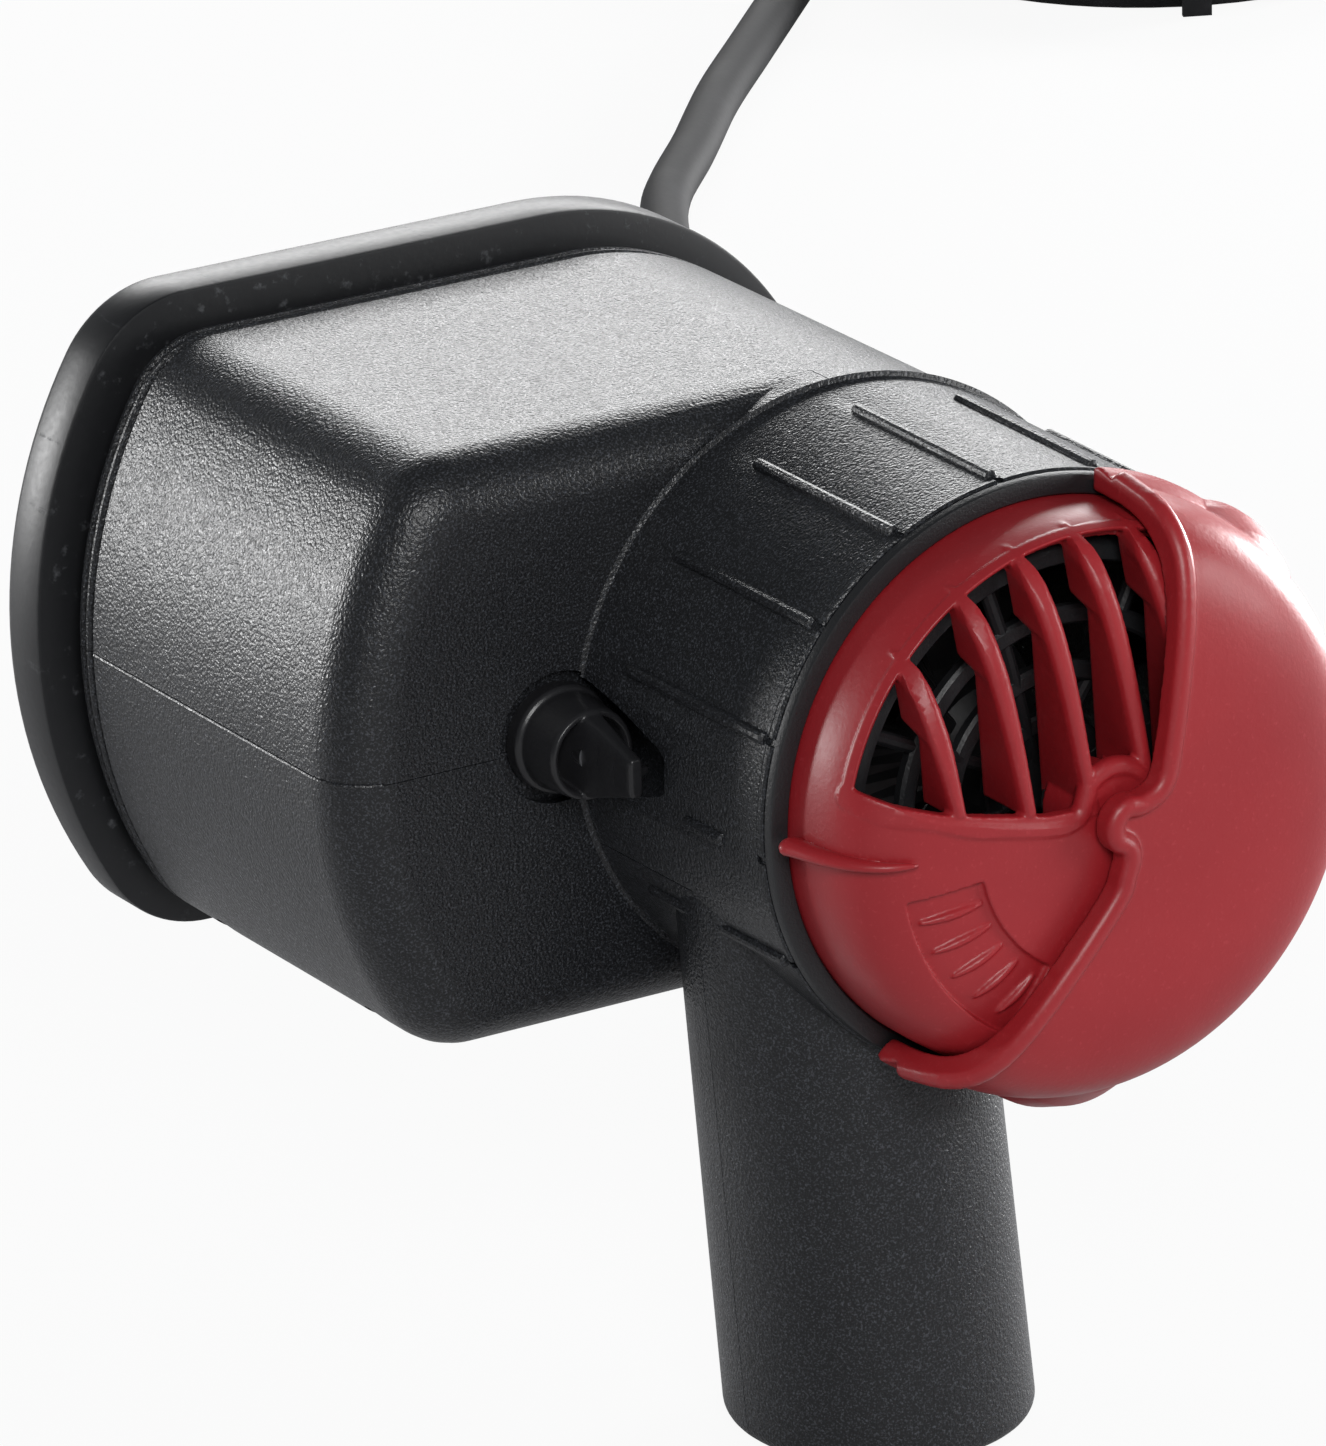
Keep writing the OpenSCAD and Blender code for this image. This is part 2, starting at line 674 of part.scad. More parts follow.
module switch_terminals() {
    color("#c9a24a") at_knob() for (x = [-6, 0, 6]) translate([x - 2.4, -0.4, -switch_back - switch_tag_len])
        cube([4.8, 0.8, switch_tag_len]);
}

// ---- cord ----
exit_a = -30;                       // the lead leaves the box's round side below its middle
relief_len = 22;
module exit_frame() {
    head() translate([0, exit_depth, 0]) rotate([0, 90 - exit_a, 0]) translate([0, 0, box_r]) children();
}
exit_dir = [cos(exit_a), 0, sin(exit_a)];
exit_end = head_pos + [0, exit_depth, 0] + (box_r + relief_len) * exit_dir;
module strain_relief() {
    r = cord_d / 2;
    color("#17181a") exit_frame() {
        rotate_extrude() polygon([[0, -5.5], [relief_flange_r, -5.5], [relief_flange_r, -box_wall - 1.2],
            [exit_hole_r - fit, -box_wall - 1.2],
            [exit_hole_r - fit, 1.5], [7, 1.5], [7, 3], [6.2, 5], [r + 1.1, relief_len], [0, relief_len]]);
    }
}

// Route of the free lead, from the strain relief to the coil
lead_route = [[72, 74, 52], [82, 80, 45], [90, 92, 35], [95, 106, 25], [99, 121, 15], [103, 136, 8], [107, 151, 4],
    [112, 168, 4], [125, 205, 4], [142, 245, 4], [160, 285, 4], [180, 325, 4], [200, 362, 4], [217, 394, 4],
    [233, 421, 4], [253, 444, 4], [271, 465, 4], [290, 485, 4], [311, 507, 4], [332, 529, 4]];
function ring_round(p, d, r, n, up = [0, 0, 1]) = let (s = unit(cross(d, up)), v = cross(s, d))
    [for (i = [0:n - 1]) p + r * (cos(i * 360 / n) * s + sin(i * 360 / n) * v)];
function path_dir(l, i) = unit(l[min(i + 1, len(l) - 1)] - l[max(i - 1, 0)]);
module sweep(l, r, n, d0, d1) {
    loft([for (i = [0:len(l) - 1]) ring_round(l[i], i == 0 ? d0 : i == len(l) - 1 ? d1 : path_dir(l, i), r, n)]);
}
coil_heading = 47;
coil_turns = 4.25;
coil_layer = cord_d + 0.6;
coil_start = [352, 551, 4];
coil_in = [cos(coil_heading), sin(coil_heading), 0];
coil_c = coil_start + coil_r * [sin(coil_heading), -cos(coil_heading), 0];
coil_total = coil_turns * 360;
function coil_z(t) = cord_d / 2 + coil_layer * min(1, max(0, (t - coil_total / 2 + 90) / 180));
function coil_rad(t) = coil_r - coil_layer * min(t, coil_total - t) / 360;
function coil_pt(t) = let (a = coil_heading + 90 - t)
    [coil_c[0] + coil_rad(t) * cos(a), coil_c[1] + coil_rad(t) * sin(a), coil_z(t)];
coil_out_a = coil_heading - coil_total;
coil_out = [cos(coil_out_a), sin(coil_out_a), 0];
coil_end = coil_pt(coil_total) + 16 * coil_out;
coil_path = concat([coil_start - cord_d * coil_in], [for (i = [0:coil_turns * 24]) coil_pt(i * 15)],
    [coil_pt(coil_total) + 8 * coil_out, coil_end]);
lead_path = concat([exit_end], lead_route, [coil_start - cord_d * coil_in]);

module cord_lead() { color("#101112") sweep(lead_path, cord_d / 2, 8, exit_dir, coil_in); }
module cord_coil() { color("#101112") sweep(coil_path, cord_d / 2, 6, coil_in, coil_out); }
function path_len(l) = len(l) < 2 ? 0 : [for (i = 1, s = norm(l[1] - l[0]); i < len(l);
    i = i + 1, s = s + (i < len(l) ? norm(l[i] - l[i - 1]) : 0)) s][len(l) - 2];
coil_gap = min([for (i = [0:len(coil_path) - 1], j = [i + 12:len(coil_path) - 1]) norm(coil_path[i] - coil_path[j])])
    - cord_d;
echo(coil_gap = coil_gap, lead = path_len(lead_path), coil = path_len(coil_path));

module cord_tie() {
    t = 250;
    r0 = coil_rad(t + 360) - cord_d / 2 - fit;
    r1 = coil_rad(t + 1080) + cord_d / 2 + fit;
    top = cord_d + coil_layer + fit;
    band = 1.2;
    color("#2b2c2e") translate([coil_c[0], coil_c[1], 0]) rotate([90, 0, coil_heading + 90 - t])
        linear_extrude(height = 5, center = true) difference() {
            translate([r0 - band, 0]) square([r1 - r0 + 2 * band, top + band]);
            translate([r0, -1]) square([r1 - r0, top + 1]);
        }
}

// ---- lighter plug, along the coil's outgoing direction ----
sleeve_len = 26;
plug_len = 52;
plug_r = coil_z(coil_total) - 0.2;
module plug_frame() { translate(coil_end) rotate([0, 90, coil_out_a]) children(); }
module plug_sleeve() {
    color("#17181a") plug_frame() rotate_extrude()
        polygon([[0, 0], [cord_d / 2 + 0.9, 0], [7, sleeve_len], [0, sleeve_len]]);
}
module plug_body() {
    z = sleeve_len;
    color("#1b1c1e") plug_frame() difference() {
        rotate_extrude() polygon([[0, z], [10, z], [plug_r, z + 4], [plug_r, z + 22], [10.4, z + 25],
            [10.4, z + plug_len - 4], [8.6, z + plug_len], [0, z + plug_len]]);
        for (s = [-1, 1]) translate([8.2, s * 10.4 - 2.2, z + 28]) translate([-10.2, 0, 0]) cube([4, 4.4, 14]);
        translate([0, 0, z + plug_len - 4]) cylinder(r = 3.1, h = 5);
    }
}
module plug_tip() {
    color("#c9cbce") plug_frame() translate([0, 0, sleeve_len + plug_len - 3.9]) {
        cylinder(r = 3, h = 6);
        translate([0, 0, 6]) cylinder(r1 = 3, r2 = 1.6, h = 2.5);
    }
}
module plug_springs() {
    color("#c9cbce") plug_frame() for (s = [-1, 1]) translate([-1.8, s * 10.2 - 1.7, sleeve_len + 28.3])
        cube([3.6, 3.4, 13.4]);
}

upper_shell();
lower_shell();
outlet_bezel();
outlet_grille();
heater_frame();
heater_core();
thermal_cutout();
motor_mount();
motor_can();
motor_end_cap();
motor_terminals();
motor_screws();
motor_shaft();
fan_impeller();
intake_guard();
louvre_cap();
shutter();
shutter_clip();
speed_knob();
switch_shaft();
rotary_switch();
switch_terminals();
housing_screws();
strain_relief();
cord_lead();
cord_coil();
cord_tie();
plug_sleeve();
plug_body();
plug_tip();
plug_springs();
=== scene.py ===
import json
from math import atan2, cos, degrees, exp, pi, radians, sin, sqrt, tan

import bmesh
import bpy
from mathutils import Matrix, Vector


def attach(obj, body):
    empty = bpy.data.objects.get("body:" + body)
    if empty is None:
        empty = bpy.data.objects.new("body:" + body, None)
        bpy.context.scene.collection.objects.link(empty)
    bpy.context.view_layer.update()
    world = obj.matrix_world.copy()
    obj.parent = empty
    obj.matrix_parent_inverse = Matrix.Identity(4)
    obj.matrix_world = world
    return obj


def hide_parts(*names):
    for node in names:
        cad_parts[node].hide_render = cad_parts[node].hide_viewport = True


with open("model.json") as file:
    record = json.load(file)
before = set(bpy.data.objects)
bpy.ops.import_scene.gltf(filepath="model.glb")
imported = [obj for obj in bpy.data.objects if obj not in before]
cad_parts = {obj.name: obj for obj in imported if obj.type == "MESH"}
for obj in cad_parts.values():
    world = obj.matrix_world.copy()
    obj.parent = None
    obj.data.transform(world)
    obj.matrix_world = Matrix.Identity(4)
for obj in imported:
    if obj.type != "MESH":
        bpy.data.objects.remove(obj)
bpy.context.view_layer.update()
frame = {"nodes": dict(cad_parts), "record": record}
MM = 0.001

# ---- sizes in millimetres ----
# Head frame: x right, y up, d = depth towards the intake, 0 at the back of the box; angles from x towards y.
HANDLE_RAKE = tan(radians(3.5))
HANDLE_LEAN = tan(radians(3.3))
HANDLE_R = 19.4
HANDLE_EDGE_R = 2.6
AXIS_H = 86.7
BARREL_R = 38.0
BARREL_LEN = 41.0
BORE_R = 35.3
HEAD = Vector((12.4, BARREL_LEN / 2 + 0.5 + (AXIS_H - 18.4) * HANDLE_RAKE, AXIS_H))
BOX_R = 38.5
BOX_LEFT = 72.0
BOX_SIDE_R = 63.0
BOX_CORNER_R = 12.0
BOX_DEPTH = 65.5
BOX_EDGE_R = 7.5
BOX_WALL = 2.5
PARTING_GAP = 0.05
PARTING_HANDLE_Y = -14
RIB_STEP = 22.5
RIB_START = 9.6
SHORT_RIB = (24.3, 32)
BEZEL_D = BOX_DEPTH + 3.3
OUTLET_D = BEZEL_D + 8.5
BEZEL_PROUD = 3.8
KNOB = (-41.4, 1.0)
KNOB_H = 18.0
GUARD_LIP = 42.7
CAP_R = 35.3
CAP_BASE = 41.7
CAP_TOP = CAP_BASE + 18.9
CAP_WALL = 1.8
CAP_CLEAR = 0.4
SHUTTER_BASE = GUARD_LIP + 0.4
SHUTTER_R = CAP_R + 2.7
SHUTTER_TOP = CAP_TOP + 2.7
SHUTTER_GAP = 0.8
DOME_N = 4.3
DOME_STEPS = 64
LOUVRE_R = 34.2
LEDGE_D = 51.4
LOUVRE_PITCH = 8.1
LOUVRE_X = -25.4
LOUVRE_LEAN = radians(10.5)
RIM_BEAD_R = 34.35
HUB_R = 5.4
EXIT_ANGLE = radians(-30)
EXIT_D = 49.0
RELIEF_LEN = 22.0
CORD_D = 8.0
NEAR_AXIS = 0.02

HEAD_TO_PART = Matrix.Translation(HEAD * MM) @ Matrix(((1, 0, 0, 0), (0, 0, -1, 0), (0, 1, 0, 0), (0, 0, 0, 1))) \
    @ Matrix.Scale(MM, 4)
PART_MM = Matrix.Scale(MM, 4)


# ---- camera ----
def make_camera():
    """Long lens, from behind and above on the left, looking at the intake."""
    right = Vector((0.84728, -0.53165, -0.02108)).normalized()
    forward = Vector((0.4929, 0.7983, -0.3459)).normalized()
    up = right.cross(forward).normalized()
    right = forward.cross(up).normalized()
    camera = bpy.data.cameras.new("camera")
    camera.sensor_fit = "HORIZONTAL"
    camera.sensor_width = 36
    camera.lens = 322.74
    camera.clip_start = 0.05
    camera.clip_end = 20
    obj = bpy.data.objects.new("camera", camera)
    place = (Vector((-649.3, -1014.4, 439.2)) * 1.15 + HEAD) * MM
    obj.matrix_world = Matrix.Translation(place) @ Matrix((right, up, -forward)).transposed().to_4x4()
    bpy.context.scene.collection.objects.link(obj)
    bpy.context.scene.camera = obj


# ---- shader maths ----
class Link:
    """A shader socket that can be used in sums."""

    def __init__(self, finish, socket):
        self.finish = finish
        self.socket = socket

    def math(self, operation, other, swap=False):
        first, second = (other, self) if swap else (self, other)
        return self.finish.node("ShaderNodeMath", {0: first, 1: second}, operation=operation)

    def __add__(self, other): return self.math("ADD", other)
    def __radd__(self, other): return self.math("ADD", other)
    def __sub__(self, other): return self.math("SUBTRACT", other)
    def __rsub__(self, other): return self.math("SUBTRACT", other, swap=True)
    def __mul__(self, other): return self.math("MULTIPLY", other)
    def __rmul__(self, other): return self.math("MULTIPLY", other)

    def clamp(self):
        return self.finish.node("ShaderNodeClamp", {0: self})

    def between(self, low, high):
        """0 below low, 1 above high, even in between."""
        return self.finish.node("ShaderNodeMapRange", {0: self, 1: low, 2: high, 3: 0.0, 4: 1.0})


class Finish:
    """A material whose nodes are made by one method."""

    def __init__(self, name):
        self.material = bpy.data.materials.new(name)
        self.material.use_nodes = True
        self.tree = self.material.node_tree
        self.bsdf = self.tree.nodes["Principled BSDF"]
        self.place = self.node("ShaderNodeTexCoord", out="Object")

    def node(self, kind, inputs=None, out=0, **settings):
        node = self.tree.nodes.new(kind)
        for key, value in settings.items():
            setattr(node, key, value)
        for key, value in (inputs or {}).items():
            self.feed(node.inputs[key], value)
        return Link(self, node.outputs[out])

    def feed(self, socket, value):
        if isinstance(value, Link):
            self.tree.links.new(value.socket, socket)
        elif isinstance(value, tuple) and len(value) == 3 and socket.type == "RGBA":
            socket.default_value = (*value, 1)
        else:
            socket.default_value = value

    def set(self, **values):
        for key, value in values.items():
            self.feed(self.bsdf.inputs[key.replace("_", " ")], value)

    def noise(self, scale, detail, rough, stretch=None):
        place = self.place
        if stretch:
            place = self.node("ShaderNodeVectorMath", {0: place, 1: stretch}, operation="MULTIPLY")
        return self.node("ShaderNodeTexNoise", {"Vector": place, "Scale": scale, "Detail": detail, "Roughness": rough})

    def mix(self, amount, a, b):
        node = self.tree.nodes.new("ShaderNodeMix")
        node.data_type = "RGBA"
        for index, value in ((0, amount), (6, a), (7, b)):
            self.feed(node.inputs[index], value)
        return Link(self, node.outputs[2])

    def bump(self, height, depth_mm, strength):
        return self.node("ShaderNodeBump", {"Height": height, "Strength": strength, "Distance": depth_mm * MM})


def grained_black(name, shade=0.008, grain_mm=0.42, depth_mm=0.16, rough=0.33):
    """Spark-eroded black plastic: fine grain, and a painted highlight: small glints on its tips, painted as light
    specks into the base colour.
    """
    f = Finish(name)
    grain = f.noise(1000 / grain_mm, 1.0, 0.5)
    coarse = f.noise(900, 2.0, 0.5)
    cloud = f.noise(22, 3.0, 0.55)
    height = grain + coarse * 0.4
    # painted highlight: this mask places the light specks that stand in for the sparkle of lit grain
    painted_glint = f.noise(1450 / grain_mm, 2.0, 0.7).between(0.52, 0.7)
    color = f.mix(cloud.between(0.3, 0.7), (shade, shade * 1.06, shade * 1.25),
                  (shade * 1.35, shade * 1.42, shade * 1.6))
    # painted highlight: the glint specks lift the base colour about elevenfold
    color = f.mix(painted_glint * 0.85, color, (shade * 11, shade * 11.8, shade * 13.6))
    f.set(Base_Color=color, Roughness=(rough - 0.08 + grain * 0.2 + cloud * 0.05 - painted_glint * 0.12).clamp(),
          Normal=f.bump(height, depth_mm, 0.9), IOR=1.5)
    return f.material


def scratched_black(name):
    """Smoother black plastic with faint handling marks."""
    f = Finish(name)
    streak = f.noise(46, 4.0, 0.6, stretch=(9.0, 0.6, 9.0))
    fine = f.noise(1100, 2.0, 0.55)
    mark = (streak.between(0.6, 0.72) * fine.between(0.42, 0.68)).clamp()
    f.set(Base_Color=f.mix(mark, (0.012, 0.0125, 0.014), (0.07, 0.073, 0.079)),
          Roughness=(0.36 + mark * 0.25 + fine * 0.12).clamp(), Specular_IOR_Level=0.42,
          Normal=f.bump(fine * 0.7 + mark, 0.035, 0.6))
    return f.material


def cap_red(name):
    """Red moulding, satin, with a slight mottle."""
    f = Finish(name)
    cloud = f.noise(30, 4.0, 0.6)
    speck = f.noise(1500, 2.0, 0.6)
    pore = f.noise(260, 3.0, 0.6)
    color = f.mix(cloud.between(0.3, 0.75), (0.33, 0.012, 0.018), (0.4, 0.02, 0.026))
    color = f.mix(speck.between(0.6, 0.78) * 0.4, color, (0.52, 0.055, 0.065))
    f.set(Base_Color=color, Roughness=(0.3 + pore * 0.16 + speck * 0.08).clamp(), IOR=1.5,
          Coat_Weight=0.1, Coat_Roughness=0.25, Normal=f.bump(speck + pore * 1.4, 0.045, 0.6))
    return f.material


def plain_plastic(name, color, rough, grain_mm=0.6, depth_mm=0.03):
    f = Finish(name)
    grain = f.noise(1000 / grain_mm, 3.0, 0.6)
    cloud = f.noise(35, 3.0, 0.5)
    light = tuple(min(1.0, c * 1.25 + 0.003) for c in color)
    f.set(Base_Color=f.mix(cloud.between(0.35, 0.7), color, light),
          Roughness=(rough - 0.06 + grain * 0.12).clamp(), Normal=f.bump(grain, depth_mm, 0.6))
    return f.material


def metal(name, color, rough):
    """Brushed along one way, with darker stains."""
    f = Finish(name)
    brush = f.noise(160, 4.0, 0.6, stretch=(1.0, 30.0, 1.0))
    stain = f.noise(60, 3.0, 0.6)
    dark = tuple(c * 0.8 for c in color)
    f.set(Base_Color=f.mix(stain.between(0.3, 0.8), dark, color), Metallic=1.0,
          Roughness=(rough - 0.08 + brush * 0.2).clamp(), Normal=f.bump(brush, 0.01, 0.4))
    return f.material


def cord_sheath(name):
    f = Finish(name)
    fine = f.noise(1200, 2.0, 0.5)
    scuff = f.noise(70, 4.0, 0.65)
    f.set(Base_Color=f.mix(scuff.between(0.5, 0.8), (0.009, 0.009, 0.01), (0.022, 0.022, 0.024)),
          Roughness=(0.58 + scuff * 0.16 + fine * 0.05).clamp(), Specular_IOR_Level=0.22,
          Normal=f.bump(fine + scuff, 0.03, 0.5))
    return f.material


finishes = {
    "housing_black": grained_black("housing_black"),
    "bezel_black": scratched_black("bezel_black"),
    "grille_black": plain_plastic("grille_black", (0.014, 0.014, 0.015), 0.4),
    "mica": plain_plastic("mica", (0.55, 0.5, 0.4), 0.5, 1.4),
    "fin_aluminium": metal("fin_aluminium", (0.78, 0.79, 0.8), 0.32),
    "inner_black": plain_plastic("inner_black", (0.02, 0.021, 0.023), 0.5),
    "motor_steel": metal("motor_steel", (0.62, 0.63, 0.66), 0.3),
    "fan_white": plain_plastic("fan_white", (0.7, 0.69, 0.65), 0.45),
    "fan_black": plain_plastic("fan_black", (0.012, 0.012, 0.013), 0.38),
    "brass": metal("brass", (0.8, 0.6, 0.28), 0.28),
    "screw_steel": metal("screw_steel", (0.55, 0.56, 0.58), 0.34),
    "guard_black": plain_plastic("guard_black", (0.012, 0.0125, 0.014), 0.42, 0.4, 0.12),
    "cap_red": cap_red("cap_red"),
    "knob_black": plain_plastic("knob_black", (0.012, 0.012, 0.0135), 0.32, 0.5, 0.03),
    "cord_black": cord_sheath("cord_black"),
    "plug_black": grained_black("plug_black", 0.018, 0.6, 0.05, 0.45),
    "contact_nickel": metal("contact_nickel", (0.74, 0.72, 0.67), 0.2),
}


# ---- mesh tools: solids are built in millimetres and placed at the end ----
def circle(r, n, cx=0.0, cy=0.0):
    return [(cx + r * cos(2 * pi * i / n), cy + r * sin(2 * pi * i / n)) for i in range(n)]


def mesh_piece(name, verts, faces):
    """An object from points and faces, with its faces turned outwards."""
    mesh = bpy.data.meshes.new(name)
    mesh.from_pydata([tuple(v) for v in verts], [], faces)
    mesh.validate()
    obj = bpy.data.objects.new(name, mesh)
    bpy.context.scene.collection.objects.link(obj)
    work = bmesh.new()
    work.from_mesh(mesh)
    bmesh.ops.recalc_face_normals(work, faces=work.faces)
    work.to_mesh(mesh)
    work.free()
    return obj


def loft(name, rings, loop=False):
    """Closed skin through rings of equally many points; loop joins the last ring to the first."""
    n = len(rings[0])
    verts = [p for ring in rings for p in ring]
    faces = []
    last = len(rings) if loop else len(rings) - 1
    for k in range(last):
        k2 = (k + 1) % len(rings)
        for i in range(n):
            j = (i + 1) % n
            faces.append((k * n + i, k * n + j, k2 * n + j, k2 * n + i))
    if not loop:
        faces.append(tuple(range(n)))
        faces.append(tuple((len(rings) - 1) * n + i for i in range(n)))
    return mesh_piece(name, verts, faces)


def prism(name, outline, d0, d1):
    return loft(name, [[(x, y, d0) for x, y in outline], [(x, y, d1) for x, y in outline]])


def revolve(name, profile, n, closed=False):
    """Turns a profile of (radius, depth) points about the barrel's axis. closed joins its ends in a ring."""
    rings = [[(r * cos(a), r * sin(a), d) for r, d in profile] for a in (2 * pi * i / n for i in range(n))]
    if closed:
        return loft(name, rings, loop=True)
    verts = [p for ring in rings for p in ring]
    m = len(profile)
    faces = []
    for i in range(n):
        j = (i + 1) % n
        for k in range(m - 1):
            faces.append((i * m + k, j * m + k, j * m + k + 1, i * m + k + 1))
    faces.append(tuple(i * m for i in range(n)))
    faces.append(tuple(i * m + m - 1 for i in range(n)))
    return mesh_piece(name, verts, faces)


def cylinder(name, x, y, r, d0, d1, n=64):
    return prism(name, circle(r, n, x, y), d0, d1)


def block(name, low, high):
    x0, y0, z0 = low
    x1, y1, z1 = high
    return prism(name, [(x0, y0), (x1, y0), (x1, y1), (x0, y1)], z0, z1)


def tube(name, path, r, n, ends=True):
    """Round bar along a path, of radius r or of one radius for each point. ends rounds its two ends."""
    path = [Vector(p) for p in path]
    radii = list(r) if isinstance(r, (list, tuple)) else [r] * len(path)
    if ends:
        d0, d1 = (path[1] - path[0]).normalized(), (path[-1] - path[-2]).normalized()
        r0, r1 = radii[0], radii[-1]
        lead = [(path[0] - d0 * r0 * k, r0 * sqrt(1 - k * k)) for k in (0.98, 0.85, 0.6, 0.3)]
        tail = [(path[-1] + d1 * r1 * k, r1 * sqrt(1 - k * k)) for k in (0.3, 0.6, 0.85, 0.98)]
        path = [p for p, _ in lead] + path + [p for p, _ in tail]
        radii = [q for _, q in lead] + radii + [q for _, q in tail]
    side = None
    rings = []
    for i, p in enumerate(path):
        along = (path[min(i + 1, len(path) - 1)] - path[max(i - 1, 0)]).normalized()
        if side is None:
            side = along.orthogonal().normalized()
        side = (side - along * side.dot(along)).normalized()
        up = along.cross(side)
        rings.append([p + (side * cos(2 * pi * k / n) + up * sin(2 * pi * k / n)) * radii[i] for k in range(n)])
    return loft(name, rings)


def apply_modifiers(obj):
    """Puts the mesh that the modifiers give in place of the object's own."""
    graph = bpy.context.evaluated_depsgraph_get()
    mesh = bpy.data.meshes.new_from_object(obj.evaluated_get(graph))
    old = obj.data
    obj.modifiers.clear()
    obj.data = mesh
    bpy.data.meshes.remove(old)
    return obj


def drop(obj):
    mesh = obj.data
    bpy.data.objects.remove(obj)
    bpy.data.meshes.remove(mesh)


def combine(operation, obj, tools):
    """Booleans obj with each tool in turn and uses the tools up."""
    for tool in tools:
        modifier = obj.modifiers.new("combine", "BOOLEAN")
        modifier.operation = operation
        modifier.solver = "MANIFOLD"
        modifier.object = tool
        apply_modifiers(obj)
        drop(tool)
    return obj


def cut(obj, *tools): return combine("DIFFERENCE", obj, tools)
def add(obj, *tools): return combine("UNION", obj, tools)
def keep(obj, *tools): return combine("INTERSECT", obj, tools)


def copy_of(obj):
    twin = obj.copy()
    twin.data = obj.data.copy()
    bpy.context.scene.collection.objects.link(twin)
    return twin


def gather(obj, *others):
    """Joins meshes into one without a boolean."""
    work = bmesh.new()
    work.from_mesh(obj.data)
    for other in others:
        work.from_mesh(other.data)
    work.to_mesh(obj.data)
    work.free()
    for other in others:
        drop(other)
    return obj


def soften(obj, voxel, rounds):
    """Melts the joined forms into one moulding with small round edges."""
    remesh = obj.modifiers.new("melt", "REMESH")
    remesh.mode = "VOXEL"
    remesh.voxel_size = voxel
    smooth = obj.modifiers.new("smooth", "SMOOTH")
    smooth.factor = 0.5
    smooth.iterations = rounds
    return apply_modifiers(obj)


def dress(obj, slot, angle):
    """Gives a mesh its finish and smooth shading. Edges sharper than angle, in degrees, stay crisp; 0 keeps none."""
    obj.data.shade_smooth()
    if angle:
        work = bmesh.new()
        work.from_mesh(obj.data)
        for edge in work.edges:
            edge.smooth = len(edge.link_faces) == 2 and edge.calc_face_angle() <= radians(angle)
        work.to_mesh(obj.data)
        work.free()
    obj.data.materials.clear()
    obj.data.materials.append(finishes[slot])


def place(obj, body, slot, *nodes, angle, matrix=HEAD_TO_PART):
    """Moves a finished piece into the part's frame, attaches it to its body and hides the CAD nodes that it stands in
    for.
    """
    obj.data.transform(matrix)
    dress(obj, slot, angle)
    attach(obj, body)
    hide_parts(*nodes)


# ---- outlines ----
def arc(cx, cy, r, a0, a1, n):
    """Points on a circle from angle a0 to a1, in degrees, in n steps."""
    return [(cx + r * cos(radians(a0 + (a1 - a0) * i / n)), cy + r * sin(radians(a0 + (a1 - a0) * i / n)))
            for i in range(n + 1)]


SIDE_CX = BOX_SIDE_R - BOX_LEFT
CORNER_Y = BOX_R - BOX_CORNER_R
CORNER_X = SIDE_CX - sqrt((BOX_SIDE_R - BOX_CORNER_R) ** 2 - CORNER_Y ** 2)
SIDE_A = degrees(atan2(CORNER_Y, SIDE_CX - CORNER_X))


def box_outline(g, rounding):
    """The box's outline grown by g. The round right side keeps clear of the rounding of the back edge."""
    h = g - rounding
    return (arc(0, 0, BOX_R + g, -90, 90, 72) + [(-1.0, BOX_R + h)]
            + arc(CORNER_X, CORNER_Y, BOX_CORNER_R + h, 90, 180 - SIDE_A, 14)
            + arc(SIDE_CX, 0, BOX_SIDE_R + h, 180 - SIDE_A, 180 + SIDE_A, 30)[1:-1]
            + arc(CORNER_X, -CORNER_Y, BOX_CORNER_R + h, 180 + SIDE_A, 270, 14) + [(-1.0, -BOX_R - h)])


def outline_at(g, d, rounding=0.0):
    return [(x, y, d) for x, y in box_outline(g, rounding)]


def rim_point(angle, r):
    return (r * cos(radians(angle)), r * sin(radians(angle)))


def spline(points, steps=8):
    """Smooth line through points."""
    points = [Vector(p) for p in points]
    padded = [points[0] * 2 - points[1]] + points + [points[-1] * 2 - points[-2]]
    line = []
    for i in range(1, len(padded) - 2):
        a, b, c, d = padded[i - 1:i + 3]
        for k in range(steps):
            t = k / steps
            line.append(0.5 * (2 * b + (c - a) * t + (2 * a - 5 * b + 4 * c - d) * t * t
                               + (3 * b - a - 3 * c + d) * t ** 3))
    return line + [points[-1]]


def dome(r, base, top):
    """Profile of a squarish dome, (radius, depth) from its rim to its top."""
    steps = [(pi / 2) * i / DOME_STEPS for i in range(DOME_STEPS)]
    flank = [(r * cos(a) ** (2 / DOME_N), base + (top - base) * sin(a) ** (2 / DOME_N)) for a in steps]
    return [(max(q, NEAR_AXIS), d) for q, d in flank] + [(NEAR_AXIS, top)]


def dome_depth(r, base, top, at):
    """Depth of the dome's skin at a distance from the axis."""
    return base + (top - base) * max(0.0, 1 - min(1.0, at / r) ** DOME_N) ** (1 / DOME_N)


def dome_solid(name, r, base, top):
    return revolve(name, dome(r, base, top), 256)


# ---- housing ----
def handle_centre(y):
    """The middle of the raked and leaning handle at a height, as (x, depth)."""
    return (-12.4 - (y + AXIS_H) * HANDLE_LEAN, HEAD.y - (y + AXIS_H) * HANDLE_RAKE)


def handle_ring(r, y):
    return [(x, y, d) for x, d in circle(r, 96, *handle_centre(y))]


def barrel_r(d):
    return BARREL_R + 0.5 * (1 - d / BARREL_LEN)


def rim_notch(angle):
    """Cutter for the small gap that each strip's end leaves in the barrel's rim."""
    a = radians(angle)
    out, side = Vector((cos(a), sin(a), 0)), Vector((-sin(a), cos(a), 0))
    low, high = BARREL_LEN - 1.6, BARREL_LEN + 1
    corners = ((-0.5, low), (0.5, low), (0.5, high), (-0.5, high))
    return loft("notch", [[out * r + side * u + Vector((0, 0, d)) for u, d in corners]
                          for r in (BARREL_R - 0.35, BARREL_R + 2)])


